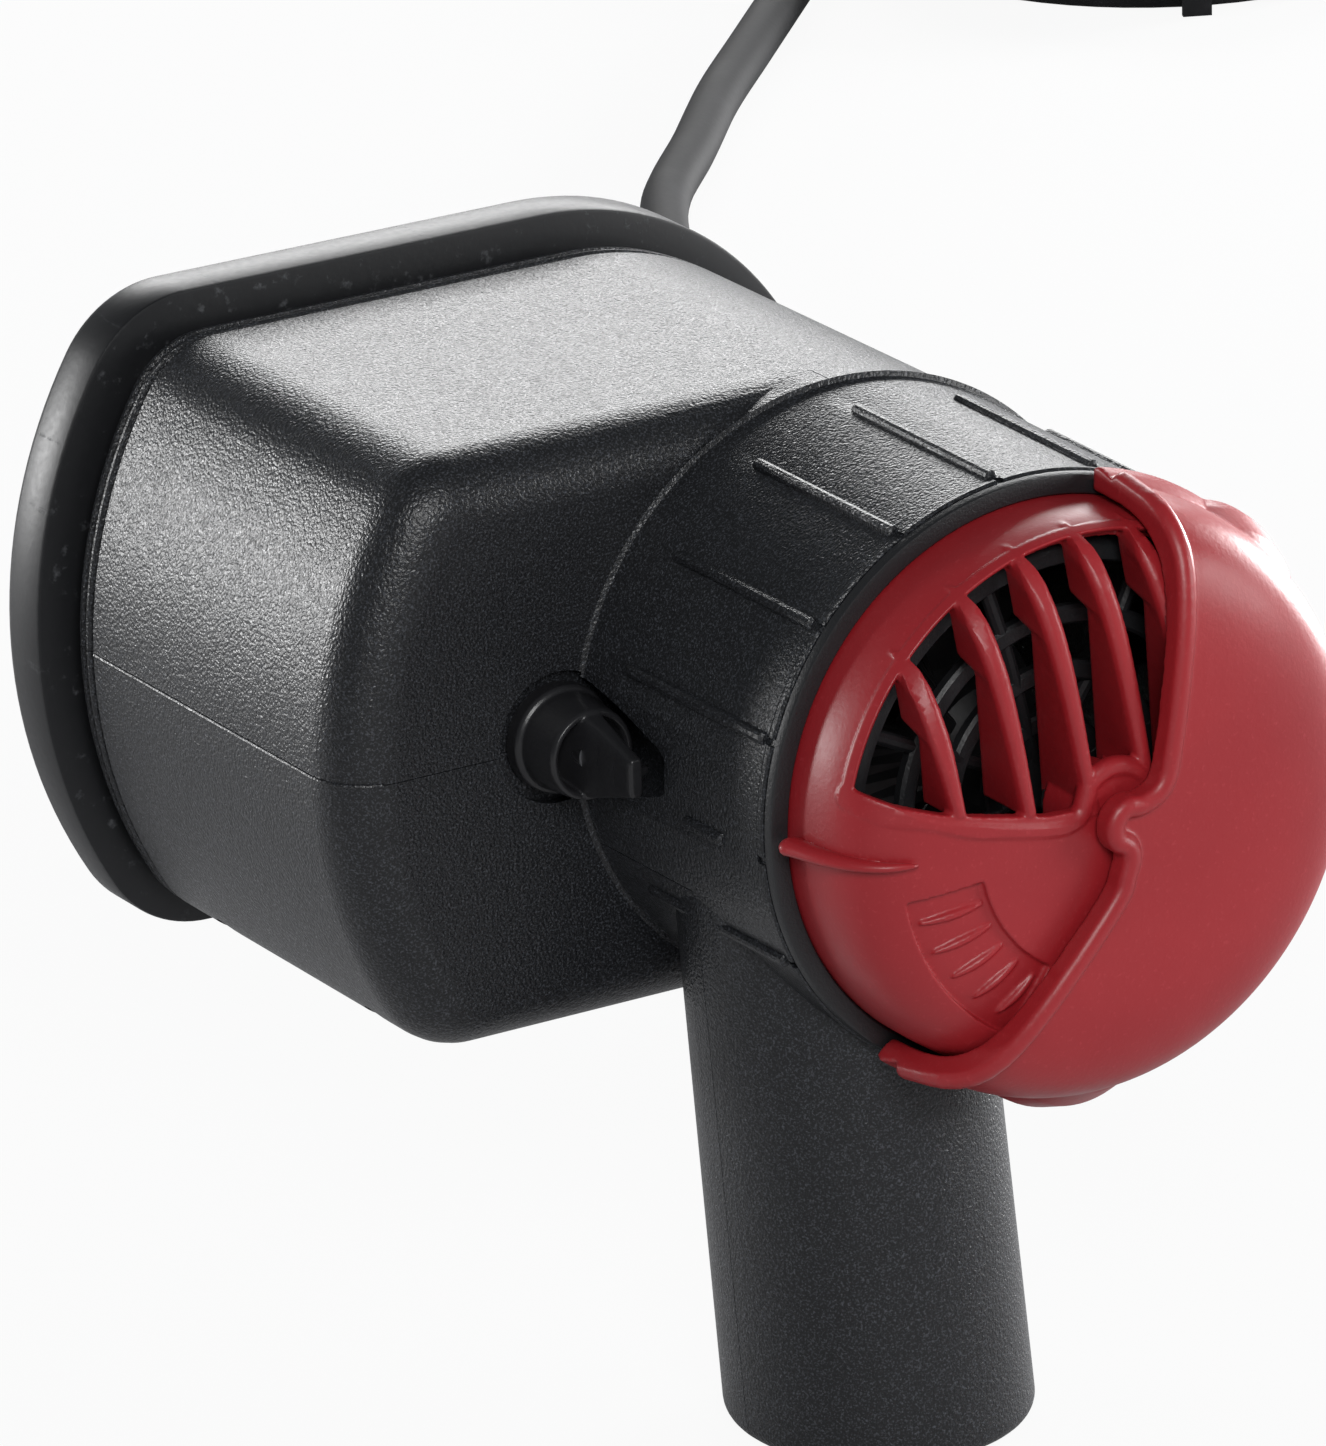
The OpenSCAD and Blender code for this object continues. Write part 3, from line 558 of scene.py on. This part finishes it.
def seam_beads():
    """The fine flash line that the parting line leaves on both sides of the box and over its back edge."""
    e = BOX_EDGE_R
    run = (-61, -40, -20, -e)
    bend = [radians(15 * k) for k in range(1, 6)]
    left = [(-BOX_LEFT, 0.0, d) for d in run] + [(-(BOX_LEFT - e * (1 - cos(t))), 0.0, -e * (1 - sin(t))) for t in bend]
    right = [(BOX_R, 0.0, d) for d in run]
    return [tube("seam_bead", line, 0.3, 8) for line in (left, right)]


def grip_rib(angle, d0, d1):
    """A low rounded strip along the barrel with a rounded start, its cross-section a flat arch."""
    a = radians(angle)
    out = Vector((cos(a), sin(a), 0))
    side = Vector((-sin(a), cos(a), 0))
    section = [(-0.84, -3), (-0.8, 0.2), (-0.62, 0.62), (-0.25, 0.82),
               (0.25, 0.82), (0.62, 0.62), (0.8, 0.2), (0.84, -3)]
    rings = []
    for d, w, h in ((d0 - 1.2, 0.3, -1.0), (d0 - 0.8, 0.65, -0.35), (d0 - 0.3, 0.92, -0.05), (d0 + 0.2, 1, 0),
                    (d1 - 0.2, 1, 0), (d1 + 0.1, 0.9, -0.5)):
        base = barrel_r(d)
        rings.append([out * (base + v + (h if v > 0 else 0)) + side * u * w + Vector((0, 0, d)) for u, v in section])
    return loft("rib", rings)


def housing():
    """Box, barrel and handle in one, hollowed, before the parting line splits them."""
    e = BOX_EDGE_R
    steps = [radians(90 * i / 8) for i in range(9)]
    lips = ((-1.1, -BOX_DEPTH), (-0.4, -65.4), (-0.2, -65.1), (-0.2, -64.6), (-0.8, -64.35), (-0.85, -63.75),
            (-0.3, -63.55), (-0.05, -63.3), (-0.05, -62.9), (-0.3, -62.65), (-0.85, -62.45), (-0.8, -61.75), (0, -61.4))
    front = [outline_at(g, d) for g, d in lips] + [outline_at(0, -e - 0.5)]
    back = [outline_at(0, -e * (1 - sin(t)), e * (1 - cos(t))) for t in steps] + [outline_at(-0.4, 0, e)]
    body = loft("housing", front + back)
    b = BARREL_LEN
    barrel = revolve("barrel", [(NEAR_AXIS, -e - 1), (BOX_R - 0.05, -e - 1), (BOX_R - 0.05, 0), (barrel_r(0) + 0.9, 0),
                                (barrel_r(0) + 0.25, 0.3), (barrel_r(1), 1.0), (barrel_r(b - 1.5), b - 1.5),
                                (BARREL_R - 0.1, b - 1.3), (BARREL_R + 0.2, b - 1.05), (BARREL_R + 0.25, b - 0.3),
                                (BARREL_R, b), (NEAR_AXIS, b)], 192)
    f = HANDLE_EDGE_R
    foot = [handle_ring(HANDLE_R - f * (1 - sin(a)), -AXIS_H + f * (1 - cos(a))) for a in steps]
    handle = loft("handle", foot + [handle_ring(HANDLE_R - 0.8, -8)])
    body = add(body, barrel, handle)
    notches = []
    for i in range(16):
        angle = 5 + RIB_STEP * i
        over_handle, by_knob = 225 < angle < 315, i == 8
        if over_handle:
            continue
        body = add(body, grip_rib(angle, *(SHORT_RIB if by_knob else (RIB_START, b - 2.0))))
        notches.append(rim_notch(angle))
    inside = loft("inside", [outline_at(-BOX_WALL, -BOX_DEPTH - 3), outline_at(-BOX_WALL, -9),
                             outline_at(-BOX_WALL, -BOX_WALL, 5)])
    bore = cylinder("bore", 0, 0, BORE_R, -6, b + 3, 128)
    body = cut(body, inside, bore, *notches)
    ear = keep(cylinder("ear", *KNOB, 11.6, -BOX_WALL - 1, 22.8),
               cylinder("core", 0, 0, BARREL_R - 0.3, -BOX_WALL, 40))
    pad = cylinder("pad", *KNOB, 10.5, -4.5, -2)
    body = add(body, ear, pad)
    pocket = revolve("pocket", [(NEAR_AXIS, -0.1), (7.9, -0.1), (7.7, 2), (6.7, 8), (4.4, 18), (3.8, 19.2),
                                (NEAR_AXIS, 19.2)], 96)
    pocket.data.transform(Matrix.Translation((*KNOB, 0)))
    recess = cylinder("recess", *KNOB, 8.5, -1.5, 0.15, 96)
    shaft = cylinder("shaft", *KNOB, 2.3, -6, 1, 32)
    return cut(body, pocket, recess, shaft, *screw_wells(), cord_hole())


def cord_hole():
    c, s = cos(EXIT_ANGLE), sin(EXIT_ANGLE)
    return loft("cord_hole", [[(r * c - u * s, r * s + u * c, -EXIT_D + v) for u, v in circle(5.6, 48)]
                              for r in (28, 46)])


SCREW_X = CORNER_X - 6
BOX_SCREW_D = (-14.0, -BOX_DEPTH + 15)
HANDLE_SCREW_Y = (-AXIS_H + 13, -AXIS_H + 34)
WELL_R = 2.9


def screw_wells():
    wells = []
    for d in BOX_SCREW_D:
        wells.append(loft("well", [[(x, y, z) for x, z in circle(WELL_R, 40, SCREW_X, d)]
                                   for y in (-BOX_R - 1, -BOX_R + 4)]))
    for y in HANDLE_SCREW_Y:
        cx = handle_centre(y)[0]
        d = HEAD.y - HANDLE_R - 5
        wells.append(cylinder("well", cx, y, WELL_R, d, d + 9, 40))
    return wells


def lower_side(g):
    """The lower shell's side of the parting line, grown by g: under the axis, behind the middle of the handle."""
    turn, end, far = PARTING_HANDLE_Y, -AXIS_H - 10, 150
    top = handle_centre(turn)[1]
    foot = handle_centre(end)[1]
    step = 0.6
    line = [(step + g, g), (step + g, turn + g), (top + g, turn + g), (foot + g, end), (-far, end), (-far, g)]
    return loft("lower_side", [[(x, y, d) for d, y in line] for x in (-far, far)])


def make_shells():
    """Splits the housing along the parting line into its two mouldings."""
    whole = housing()
    lower = keep(copy_of(whole), lower_side(-PARTING_GAP))
    upper = cut(whole, lower_side(PARTING_GAP))
    lower = gather(lower, *seam_beads())
    upper.name, lower.name = "upper_housing", "lower_housing"
    place(upper, "root", "housing_black", "upper_shell", angle=20)
    place(lower, "root", "housing_black", "lower_shell", angle=20)


def make_bezel():
    """The rim round the outlet, with a rounded lip and a collar that reaches into the box."""
    p = BEZEL_PROUD
    d0, d1 = -OUTLET_D, -BEZEL_D
    rings = [outline_at(-4.6, -BOX_DEPTH + 8), outline_at(-4.6, d0 + 5), outline_at(-4.9, d0 + 4.2),
             outline_at(-2.6, d0 + 0.9), outline_at(-1.9, d0 + 0.25), outline_at(-1.2, d0)]
    rings += [outline_at(p - 1.6, d0), outline_at(p - 0.85, d0 + 0.2), outline_at(p - 0.25, d0 + 0.75),
              outline_at(p, d0 + 1.6), outline_at(p, d1 - 0.45), outline_at(p - 0.13, d1 - 0.13),
              outline_at(p - 0.45, d1)]
    rings += [outline_at(-2.6, d1), outline_at(-2.6, -BOX_DEPTH + 8)]
    place(loft("outlet_rim", rings, loop=True), "root", "bezel_black", "outlet_bezel", angle=38)


# ---- intake ----
def make_guard():
    """The lip round the cap, and behind the louvres a raised crown with rings and spokes."""
    b = BARREL_LEN
    lip = revolve("intake_guard_ring", [
        (33.1, 35.5), (BORE_R - 0.1, 35.5), (BORE_R - 0.1, b + 0.1), (BARREL_R - 0.25, b + 0.1), (BARREL_R, b + 0.3),
        (BARREL_R, GUARD_LIP - 0.45), (BARREL_R - 0.15, GUARD_LIP - 0.12), (BARREL_R - 0.5, GUARD_LIP),
        (CAP_R + 0.35, GUARD_LIP), (CAP_R + 0.15, GUARD_LIP - 0.2), (CAP_R + 0.15, b + 0.6), (33.1, b + 0.6)],
        160, True)
    crown = revolve("crown", [(33.1, 37), (33.4, 41), (31.9, 46.5), (31.2, 48.2), (30.6, 48.6), (29.0, 48.6),
                              (28.7, 48.2), (28.8, 46.9), (30.2, 46.4), (31.6, 41), (31.6, 37)], 128, True)
    parts = [crown]
    bar = ((-1.1, -0.9), (1.1, -0.9), (1.2, 0.4), (0.8, 0.8), (-0.8, 0.8), (-1.2, 0.4))
    for r, d in ((22, 47.4), (14.6, 46.2), (7.6, 44.6)):
        parts.append(revolve("ring", [(r + u, d + v) for u, v in bar], 96, True))
    parts.append(cylinder("boss", 0, 0, 3.4, 42.6, 44.6, 40))
    for k in range(8):
        a = radians(20 + 45 * k)
        parts.append(tube("spoke", [(r * cos(a), r * sin(a), d) for r, d in
                                    ((2, 43.6), (7.6, 44.6), (14.6, 46.1), (22, 47.2), (29.5, 47.4))], 0.95, 10, False))
    guard = gather(lip, *parts)
    guard.name = "intake_guard_rings"
    place(guard, "root", "guard_black", "intake_guard", angle=35)


LOUVRE_SILL = [(-37, 10.2), (-33.2, 8.6), (-29.2, 6.8), (-24.3, 5.3), (-17.3, 3.8), (-9.5, 2.3), (-6, 2.2), (8.5, 1),
               (LOUVRE_R + 2, 2.9)]
SILL_LINE = [(-33.4, 7.5), (-31.6, 6.4), (-29.2, 5.4), (-21.6, 3.0), (-15.9, 1.7), (-8.5, 0.4), (-5.2, 1.2),
             (-4.2, 3.3), (-3.6, 5.0), (-1.7, 6.2), (0.6, 6.4), (2.9, 5.5), (4.8, 3.6)]


def cap_depth(r, lift=0.0):
    return dome_depth(CAP_R, CAP_BASE, CAP_TOP, r) + lift


def on_cap(x, y, lift):
    return (x, y, cap_depth(sqrt(x * x + y * y), lift))


def louvre_opening():
    """The hole in the dome above the sill, less the hub."""
    d0, d1 = LEDGE_D, CAP_TOP + 3
    above_sill = prism("above_sill", LOUVRE_SILL + [(45, 45), (-45, 45)], d0 - 1, d1 + 1)
    opening = keep(cylinder("opening", 0, 0, LOUVRE_R, d0, d1, 160), above_sill)
    return cut(opening, cylinder("hub", 0, 0, HUB_R, 30, 80))


def louvre_blades():
    """Leaning fins that follow the dome with a rounded crest; each is deeper behind its pointed tip."""
    blades = []
    lean = LOUVRE_LEAN
    down = Vector((sin(lean), -cos(lean), 0))
    side = Vector((cos(lean), sin(lean), 0))
    for i in range(6):
        x = LOUVRE_X + LOUVRE_PITCH * i
        tip = Vector((x, sqrt(34.5 ** 2 - x * x), 0))
        foot = (tip.y - (4.8 - 0.22 * (x - LOUVRE_X))) / cos(lean)
        stops = [-0.55, -0.2, 0.3, 0.9, 1.8, 3.2, 5.5, 8.2, 9.4] + [9.4 + (foot - 9.4) * k / 9 for k in range(1, 10)]
        rings = []
        for s in stops:
            at = tip + down * s
            r = min(sqrt(at.x ** 2 + at.y ** 2), CAP_R - 0.25)
            top = cap_depth(r) + 0.25 + 1.5 * exp(-((s - 0.1) / 1.5) ** 2)
            w = 0.34 + 1.0 * min(1, (s + 0.55) / 3.2) - 0.42 * max(0, s - 10) / (foot - 10)
            low = min(50.8 if s < 8.5 else 54.2 - 4.2 * (s - 9.4) / 22, top - 2.6)
            v = min(w, 0.8)
            section = [(-w, top - 1.2), (-0.84 * w, top - 0.4), (-0.4 * w, top), (0.4 * w, top), (0.84 * w, top - 0.4),
                       (w, top - 1.2), (v, low + 0.4), (0.6 * v, low), (-0.6 * v, low), (-v, low + 0.4)]
            rings.append([at + side * u + Vector((0, 0, d)) for u, d in section])
        blades.append(loft("blade", rings))
    return blades


def scale_recess():
    """Cutter for a shallow ring sector low on the left."""
    sector = prism("sector", arc(0, 0, 29.3, 190.5, 240, 16) + arc(0, 0, 19.5, 240, 192, 16),
                   CAP_BASE + 2, CAP_TOP + 5)
    shell = cut(dome_solid("outer", CAP_R + 3, CAP_BASE, CAP_TOP + 3),
                dome_solid("inner", CAP_R - 0.75, CAP_BASE - 1, CAP_TOP - 0.75))
    return keep(shell, sector)


def scale_ridges():
    """Five plain ridges across the recess, thickest in the middle."""
    ridges = []
    for k in range(5):
        path, radii = [], []
        for u in (t / 8 for t in range(9)):
            a = 197.4 + 9.2 * k + 2.8 * u
            r = 28.1 - 0.25 * k - (7.7 - 0.5 * k) * u
            path.append((*rim_point(a, r), cap_depth(r, -0.62)))
            radii.append(0.2 + 0.34 * sin(pi * u))
        ridges.append(tube("ridge", path, radii, 10))
    return ridges


def make_cap():
    """The louvred dome. It is cut back to the room under the turning shutter before the stop fin is added."""
    skin = dome_solid("cap", CAP_R, CAP_BASE, CAP_TOP)
    skin = cut(skin, dome_solid("hollow", CAP_R - CAP_WALL, CAP_BASE - 1, CAP_TOP - CAP_WALL))
    skin = cut(skin, louvre_opening(), scale_recess())
    sill = tube("sill", spline([on_cap(x, y, -0.85) for x, y in SILL_LINE], 4), 1.35, 14)
    rim = [(*rim_point(a, RIM_BEAD_R), cap_depth(RIM_BEAD_R, -0.5)) for a in range(167, 30, -3)]
    parts = louvre_blades() + [sill, tube("rim_bead", rim, 0.75, 12), *scale_ridges(),
                               cylinder("hub", 0, 0, HUB_R, CAP_TOP - 8.4, CAP_TOP - 0.25)]
    room = dome_solid("room", CAP_R + CAP_CLEAR, SHUTTER_BASE - 4, CAP_TOP + CAP_CLEAR)
    cap = add(keep(soften(gather(skin, *parts), 0.25, 2), room), stop_fin())
    cap = cut(cap, cylinder("bore", 0, 0, 2.56, CAP_BASE - 5, CAP_TOP + 5, 48))
    cap.name = "intake_cap"
    place(cap, "root", "cap_red", "louvre_cap", angle=0)


def stop_fin():
    """The shutter's end stop, a fin from the guard's lip up the dome's left side."""
    spine = spline([(x, -0.2, d) for x, d in ((-37.2, GUARD_LIP + 1.8), (-36.6, 46.5), (-35.6, 51), (-34.0, 55),
                                              (-31.4, 58), (-28.0, 59.6))], 4)
    rings = []
    n = len(spine)
    for i, p in enumerate(spine):
        t = i / (n - 1)
        along = (spine[min(i + 1, n - 1)] - spine[max(i - 1, 0)]).normalized()
        out = Vector((-along.z, 0, along.x))
        out = out if out.x < 0 else -out
        start = min(1, 0.6 + 6 * t)
        wide = 1.0 * (1 - t) ** 0.5 * start + 0.15
        tall = 1.6 * (1 - t ** 2) * start + 0.2
        rings.append([p + Vector((0, wide * u, 0)) + out * tall * v for u, v in circle(1, 16)])
    return loft("fin", rings)


# ---- shutter ----
def shutter_edge():
    """The open edge from rim to rim, with a round tongue about the axis."""
    near = [(8.4, 33.2), (8.2, 30.0), (6.6, 20.1), (4.6, 8.5), (3.5, 4.9)]
    far = [(-2.1, -6.0), (-3.5, -8.8), (-12.0, -18.7), (-19.4, -27.5)]
    return spline([rim_point(77, 42.5), rim_point(77, 38)] + near + arc(0, 0, 3.9, 72, 248, 8) + far
                  + [rim_point(-127.5, 38), rim_point(-127.5, 42.5)], 5)


def make_shutter():
    """The half cover: a dome with a skirt, two finger lugs, a bead along its edge and a post in the cap's hub."""
    edge = shutter_edge()
    region = prism("region", [(p.x, p.y) for p in edge] + [(-10, -60), (60, -60), (60, 60), (20, 60)],
                   SHUTTER_BASE, SHUTTER_TOP + 6)
    r, base = SHUTTER_R, SHUTTER_BASE
    outer = dome_solid("shutter", r, base, SHUTTER_TOP)
    skirt = revolve("skirt", [(r - 2, base), (r + 0.9, base), (r + 1.25, base + 0.9), (r + 0.9, base + 2.4),
                              (r + 0.2, base + 4.2), (r - 2, base + 6)], 160, True)
    lugs = []
    for a, off in ((41, 27.6), (271, 28.6)):
        levels = ((12.9, 0), (13.4, 1.2), (13.2, 3.5), (11.6, 8), (8.5, 12.4))
        lugs.append(loft("lug", [[(x, y, base + up) for x, y in circle(q, 64, *rim_point(a, off))]
                                 for q, up in levels]))
    outer = add(outer, skirt, *lugs)
    crest = [Vector((p.x, p.y, dome_depth(r, base, SHUTTER_TOP, min(sqrt(p.x ** 2 + p.y ** 2), r - 0.02)) - 0.1))
             for p in inset_line(edge[5:-5], 1.3)]
    post = cylinder("post", 0, 0, 2.5, CAP_TOP - 8.7, SHUTTER_TOP - 1, 48)
    hollow = dome_solid("hollow", CAP_R + SHUTTER_GAP, base - 4, CAP_TOP + SHUTTER_GAP)
    body = soften(cut(keep(add(outer, tube("crest", crest, 1.5, 16)), region), hollow), 0.28, 3)
    body = cut(add(body, post), cylinder("pin_hole", 0, 0, 1.05, CAP_TOP - 12, CAP_TOP - 3, 24))
    body.name = "shutter_dome"
    place(body, "shutter_body", "cap_red", "shutter", angle=0)


def inset_line(line, by):
    """Moves a line across its run, to the shutter's side."""
    moved = []
    for i, p in enumerate(line):
        along = line[min(i + 1, len(line) - 1)] - line[max(i - 1, 0)]
        side = Vector((-along.y, along.x)).normalized()
        moved.append(p + side * by)
    return moved


# ---- screws ----
def sunk_screw(at, along, length):
    """A pan head with a cross slot at a point, and its shank along a direction."""
    turn = along.to_track_quat("Z", "Y").to_matrix().to_4x4()
    head = revolve("screw", [(NEAR_AXIS, 0), (1.9, 0.05), (2.6, 0.5), (2.75, 1.0), (2.75, 2.0), (1.45, 2.0),
                             (1.45, length), (0.9, length + 1.2), (NEAR_AXIS, length + 2)], 32)
    for u, v in ((1.7, 0.35), (0.35, 1.7)):
        head = cut(head, block("slot", (-u, -v, -1), (u, v, 0.9)))
    head.data.transform(Matrix.Translation(at) @ turn)
    return head


def make_screws():
    """Four sunk screws, two under the box and two in the back of the handle."""
    parts = [sunk_screw(Vector((SCREW_X, -BOX_R + 3.9, d)), Vector((0, 1, 0)), 36) for d in BOX_SCREW_D]
    for y in HANDLE_SCREW_Y:
        cx, cd = handle_centre(y)
        parts.append(sunk_screw(Vector((cx, y, cd - HANDLE_R + 2.6)), Vector((0, 0, 1)), HANDLE_R + 4))
    screws = gather(*parts)
    screws.name = "housing_screw_set"
    place(screws, "root", "screw_steel", "housing_screws", angle=30)


# ---- knob ----
def squared(v):
    """Swells a sine or cosine, so that a circle of them comes out as a round-cornered square."""
    return abs(v) ** 0.4 * (1 if v > 0 else -1)


def make_knob():
    """A cup with a finger bar that narrows outwards, and a pointer nib on one side."""
    cup = revolve("knob", [(NEAR_AXIS, -1.2), (6.6, -1.2), (7.0, -0.9), (7.0, 1.0), (6.75, 1.4), (6.35, 1.6),
                           (5.85, 7.4), (5.6, 7.95), (5.1, 7.95), (4.8, 7.4), (4.4, 4.0), (4.0, 3.5),
                           (NEAR_AXIS, 3.5)], 64)
    levels = ((3.0, 2.7, 5.6), (6, 2.0, 5.4), (8, 1.65, 5.3), (11, 1.3, 4.5), (14.5, 1.05, 3.4), (17.2, 0.98, 2.6),
              (KNOB_H - 0.2, 0.9, 2.5), (KNOB_H, 0.7, 2.3))
    bar = loft("bar", [[(w * squared(c), h * squared(s), d) for c, s in circle(1, 40)] for d, w, h in levels])
    nib_end = ((-0.75, -1.2), (0.75, -1.2), (0.75, 1.1), (-0.75, 1.1))
    nib = loft("nib", [[(u, v * k, KNOB_H - 2.4 + w * k) for v, w in nib_end]
                       for u, k in ((0, 1.0), (1.6, 0.85), (2.9, 0.45))])
    knob = soften(gather(cup, bar, nib), 0.17, 2)
    knob = cut(knob, cylinder("bore", 0, 0, 2.0, -4, 2.9, 32))
    knob.data.transform(Matrix.Translation((*KNOB, 0)))
    knob.name = "knob"
    place(knob, "knob_body", "knob_black", "speed_knob", angle=0)


# ---- cord: points in the part's frame, in millimetres ----
EXIT_DIR = Vector((cos(EXIT_ANGLE), 0, sin(EXIT_ANGLE)))
EXIT_END = HEAD + Vector((0, EXIT_D, 0)) + (BOX_R + RELIEF_LEN) * EXIT_DIR
LEAD_DROP = [(73.2, 75.6, 51.2), (80.5, 79.8, 45.7), (90, 92, 35), (95, 106, 25), (99, 121, 15), (103, 136, 8)]
LEAD_FLOOR = [(107, 151), (112, 168), (125, 205), (142, 245), (160, 285), (180, 325), (200, 362), (217, 394),
              (233, 421), (253, 444), (271, 465), (290, 485), (311, 507), (332, 529)]
COIL_START = Vector((352, 551, CORD_D / 2))
COIL_HEADING = 47.0
COIL_R = 52.0
COIL_TURNS = 4.25
COIL_LAYER = CORD_D + 0.6
COIL_IN = Vector((cos(radians(COIL_HEADING)), sin(radians(COIL_HEADING)), 0))
COIL_C = COIL_START + COIL_R * Vector((COIL_IN.y, -COIL_IN.x, 0))
COIL_TOTAL = COIL_TURNS * 360
COIL_OUT_A = COIL_HEADING - COIL_TOTAL
COIL_OUT = Vector((cos(radians(COIL_OUT_A)), sin(radians(COIL_OUT_A)), 0))


def coil_point(t):
    """Place on the coil after t degrees: it winds in on the floor and out again on the layer above."""
    r = COIL_R - COIL_LAYER * min(t, COIL_TOTAL - t) / 360
    a = radians(COIL_HEADING + 90 - t)
    z = CORD_D / 2 + COIL_LAYER * min(1, max(0, (t - COIL_TOTAL / 2 + 90) / 180))
    return Vector((COIL_C.x + r * cos(a), COIL_C.y + r * sin(a), z))


def cord_path():
    route = LEAD_DROP + [(x, y, CORD_D / 2) for x, y in LEAD_FLOOR]
    path = spline([EXIT_END, *route, COIL_START - CORD_D * COIL_IN])
    path += [coil_point(t) for t in range(0, int(COIL_TOTAL) + 1, 6)]
    return path + [coil_point(COIL_TOTAL) + k * COIL_OUT for k in (4, 8, 12, 16)]


def line_length(path):
    return sum((b - a).length for a, b in zip(path, path[1:]))


def make_cord():
    """The whole lead as one curve; gives it back with its length in metres."""
    path = cord_path()
    curve = bpy.data.curves.new("lead", "CURVE")
    curve.dimensions = "3D"
    curve.bevel_depth = CORD_D / 2 * MM
    curve.bevel_resolution = 6
    curve.use_fill_caps = True
    run = curve.splines.new("POLY")
    run.points.add(len(path) - 1)
    for point, place_at in zip(run.points, path):
        point.co = (*(place_at * MM), 1)
    curve.materials.append(finishes["cord_black"])
    lead = bpy.data.objects.new("lead", curve)
    bpy.context.scene.collection.objects.link(lead)
    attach(lead, "root")
    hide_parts("cord_lead", "cord_coil")
    return lead, line_length(path) * MM


def make_strain_relief():
    """A flange on each side of the wall, then a ribbed boot that narrows towards the cord."""
    rings = [(NEAR_AXIS, -5.5), (7.6, -5.5), (7.6, -3.7), (5.5, -3.7), (5.5, 1.5), (7.0, 1.5), (7.2, 1.8), (7.2, 2.7),
             (6.9, 3.1)]
    for k in range(6):
        z = 3.6 + k * 2.9
        r = 6.3 - k * 0.2
        rings += [(r - 0.75, z), (r - 0.75, z + 0.9), (r - 0.1, z + 1.15), (r - 0.1, z + 2.45), (r - 0.3, z + 2.7)]
    rings += [(CORD_D / 2 + 0.9, RELIEF_LEN - 0.5), (CORD_D / 2 + 0.5, RELIEF_LEN), (NEAR_AXIS, RELIEF_LEN)]
    boot = revolve("strain_relief_boot", rings, 64)
    out = EXIT_DIR
    side = Vector((0, 1, 0))
    up = out.cross(side)
    turn = Matrix((side, up, out)).transposed().to_4x4()
    at = Matrix.Translation(HEAD + Vector((0, EXIT_D, 0)) + BOX_R * out)
    place(boot, "root", "cord_black", "strain_relief", matrix=PART_MM @ at @ turn, angle=35)


# ---- parts that keep their own solids ----
def finish_nodes():
    slots = {s["node"]: s["material_slot"] for s in frame["record"]["subparts"]}
    for name, obj in frame["nodes"].items():
        dress(obj, slots[name], 30)


# ---- stage ----
def make_stage():
    """A pale floor and world that the camera sees as white, while they light the object only a little."""
    floor = mesh_piece("floor", [(-6, -6, 0), (6, -6, 0), (6, 6, 0), (-6, 6, 0)], [(0, 1, 2, 3)])
    floor.data.transform(Matrix.Translation((0, 0, -0.0002)))
    f = Finish("floor")
    f.set(Base_Color=(0.5, 0.5, 0.51), Roughness=0.9, Specular_IOR_Level=0.1)
    seen = f.node("ShaderNodeLightPath", out="Is Camera Ray")
    shine = f.node("ShaderNodeLightPath", out="Is Glossy Ray")
    glow = f.node("ShaderNodeEmission", {"Color": (1.0, 1.0, 1.0), "Strength": 1.0})
    both = f.node("ShaderNodeMixShader", {0: seen * 0.93 + shine * 0.06, 1: Link(f, f.bsdf.outputs[0]), 2: glow})
    f.tree.links.new(both.socket, f.tree.nodes["Material Output"].inputs[0])
    floor.data.materials.append(f.material)
    world = bpy.data.worlds.new("studio")
    bpy.context.scene.world = world
    world.use_nodes = True
    tree = world.node_tree
    back = tree.nodes["Background"]
    path = tree.nodes.new("ShaderNodeLightPath")
    white = tree.nodes.new("ShaderNodeBackground")
    white.inputs[0].default_value = (1, 1, 1, 1)
    white.inputs[1].default_value = 1.0
    back.inputs[0].default_value = (0.9, 0.95, 1, 1)
    back.inputs[1].default_value = 0.13
    mix = tree.nodes.new("ShaderNodeMixShader")
    tree.links.new(path.outputs["Is Camera Ray"], mix.inputs[0])
    tree.links.new(back.outputs[0], mix.inputs[1])
    tree.links.new(white.outputs[0], mix.inputs[2])
    tree.links.new(mix.outputs[0], tree.nodes["World Output"].inputs[0])


def lamp(name, at, size, power):
    """A white sheet light, turned to the middle of the head; places and sizes in metres, power in watts."""
    light = bpy.data.lights.new(name, "AREA")
    light.shape = "RECTANGLE"
    light.size, light.size_y = size
    light.energy = power
    obj = bpy.data.objects.new(name, light)
    at = Vector(at)
    towards = at - Vector((0.0, 0.03, 0.08))
    obj.matrix_world = Matrix.Translation(at) @ towards.to_track_quat("Z", "Y").to_matrix().to_4x4()
    bpy.context.scene.collection.objects.link(obj)


def make_lights():
    lamp("back_sheet", (0.9, 1.4, 0.72), (1.1, 0.5), 17)
    lamp("left_low", (-0.75, 1.05, 0.2), (0.3, 0.3), 9)
    lamp("right_low", (1.15, 0.35, 0.16), (0.4, 0.3), 22)
    lamp("right_sheet", (1.1, -0.75, 0.35), (0.5, 0.5), 7)
    lamp("front_fill", (-0.55, -1.1, 0.85), (0.5, 0.5), 11)


bpy.context.scene.view_settings.view_transform = "Standard"
make_camera()
lead, lead_length = make_cord()
finish_nodes()
make_stage()
make_lights()
make_shells()
make_bezel()
make_guard()
make_cap()
make_shutter()
make_knob()
make_screws()
make_strain_relief()
bpy.context.view_layer.update()
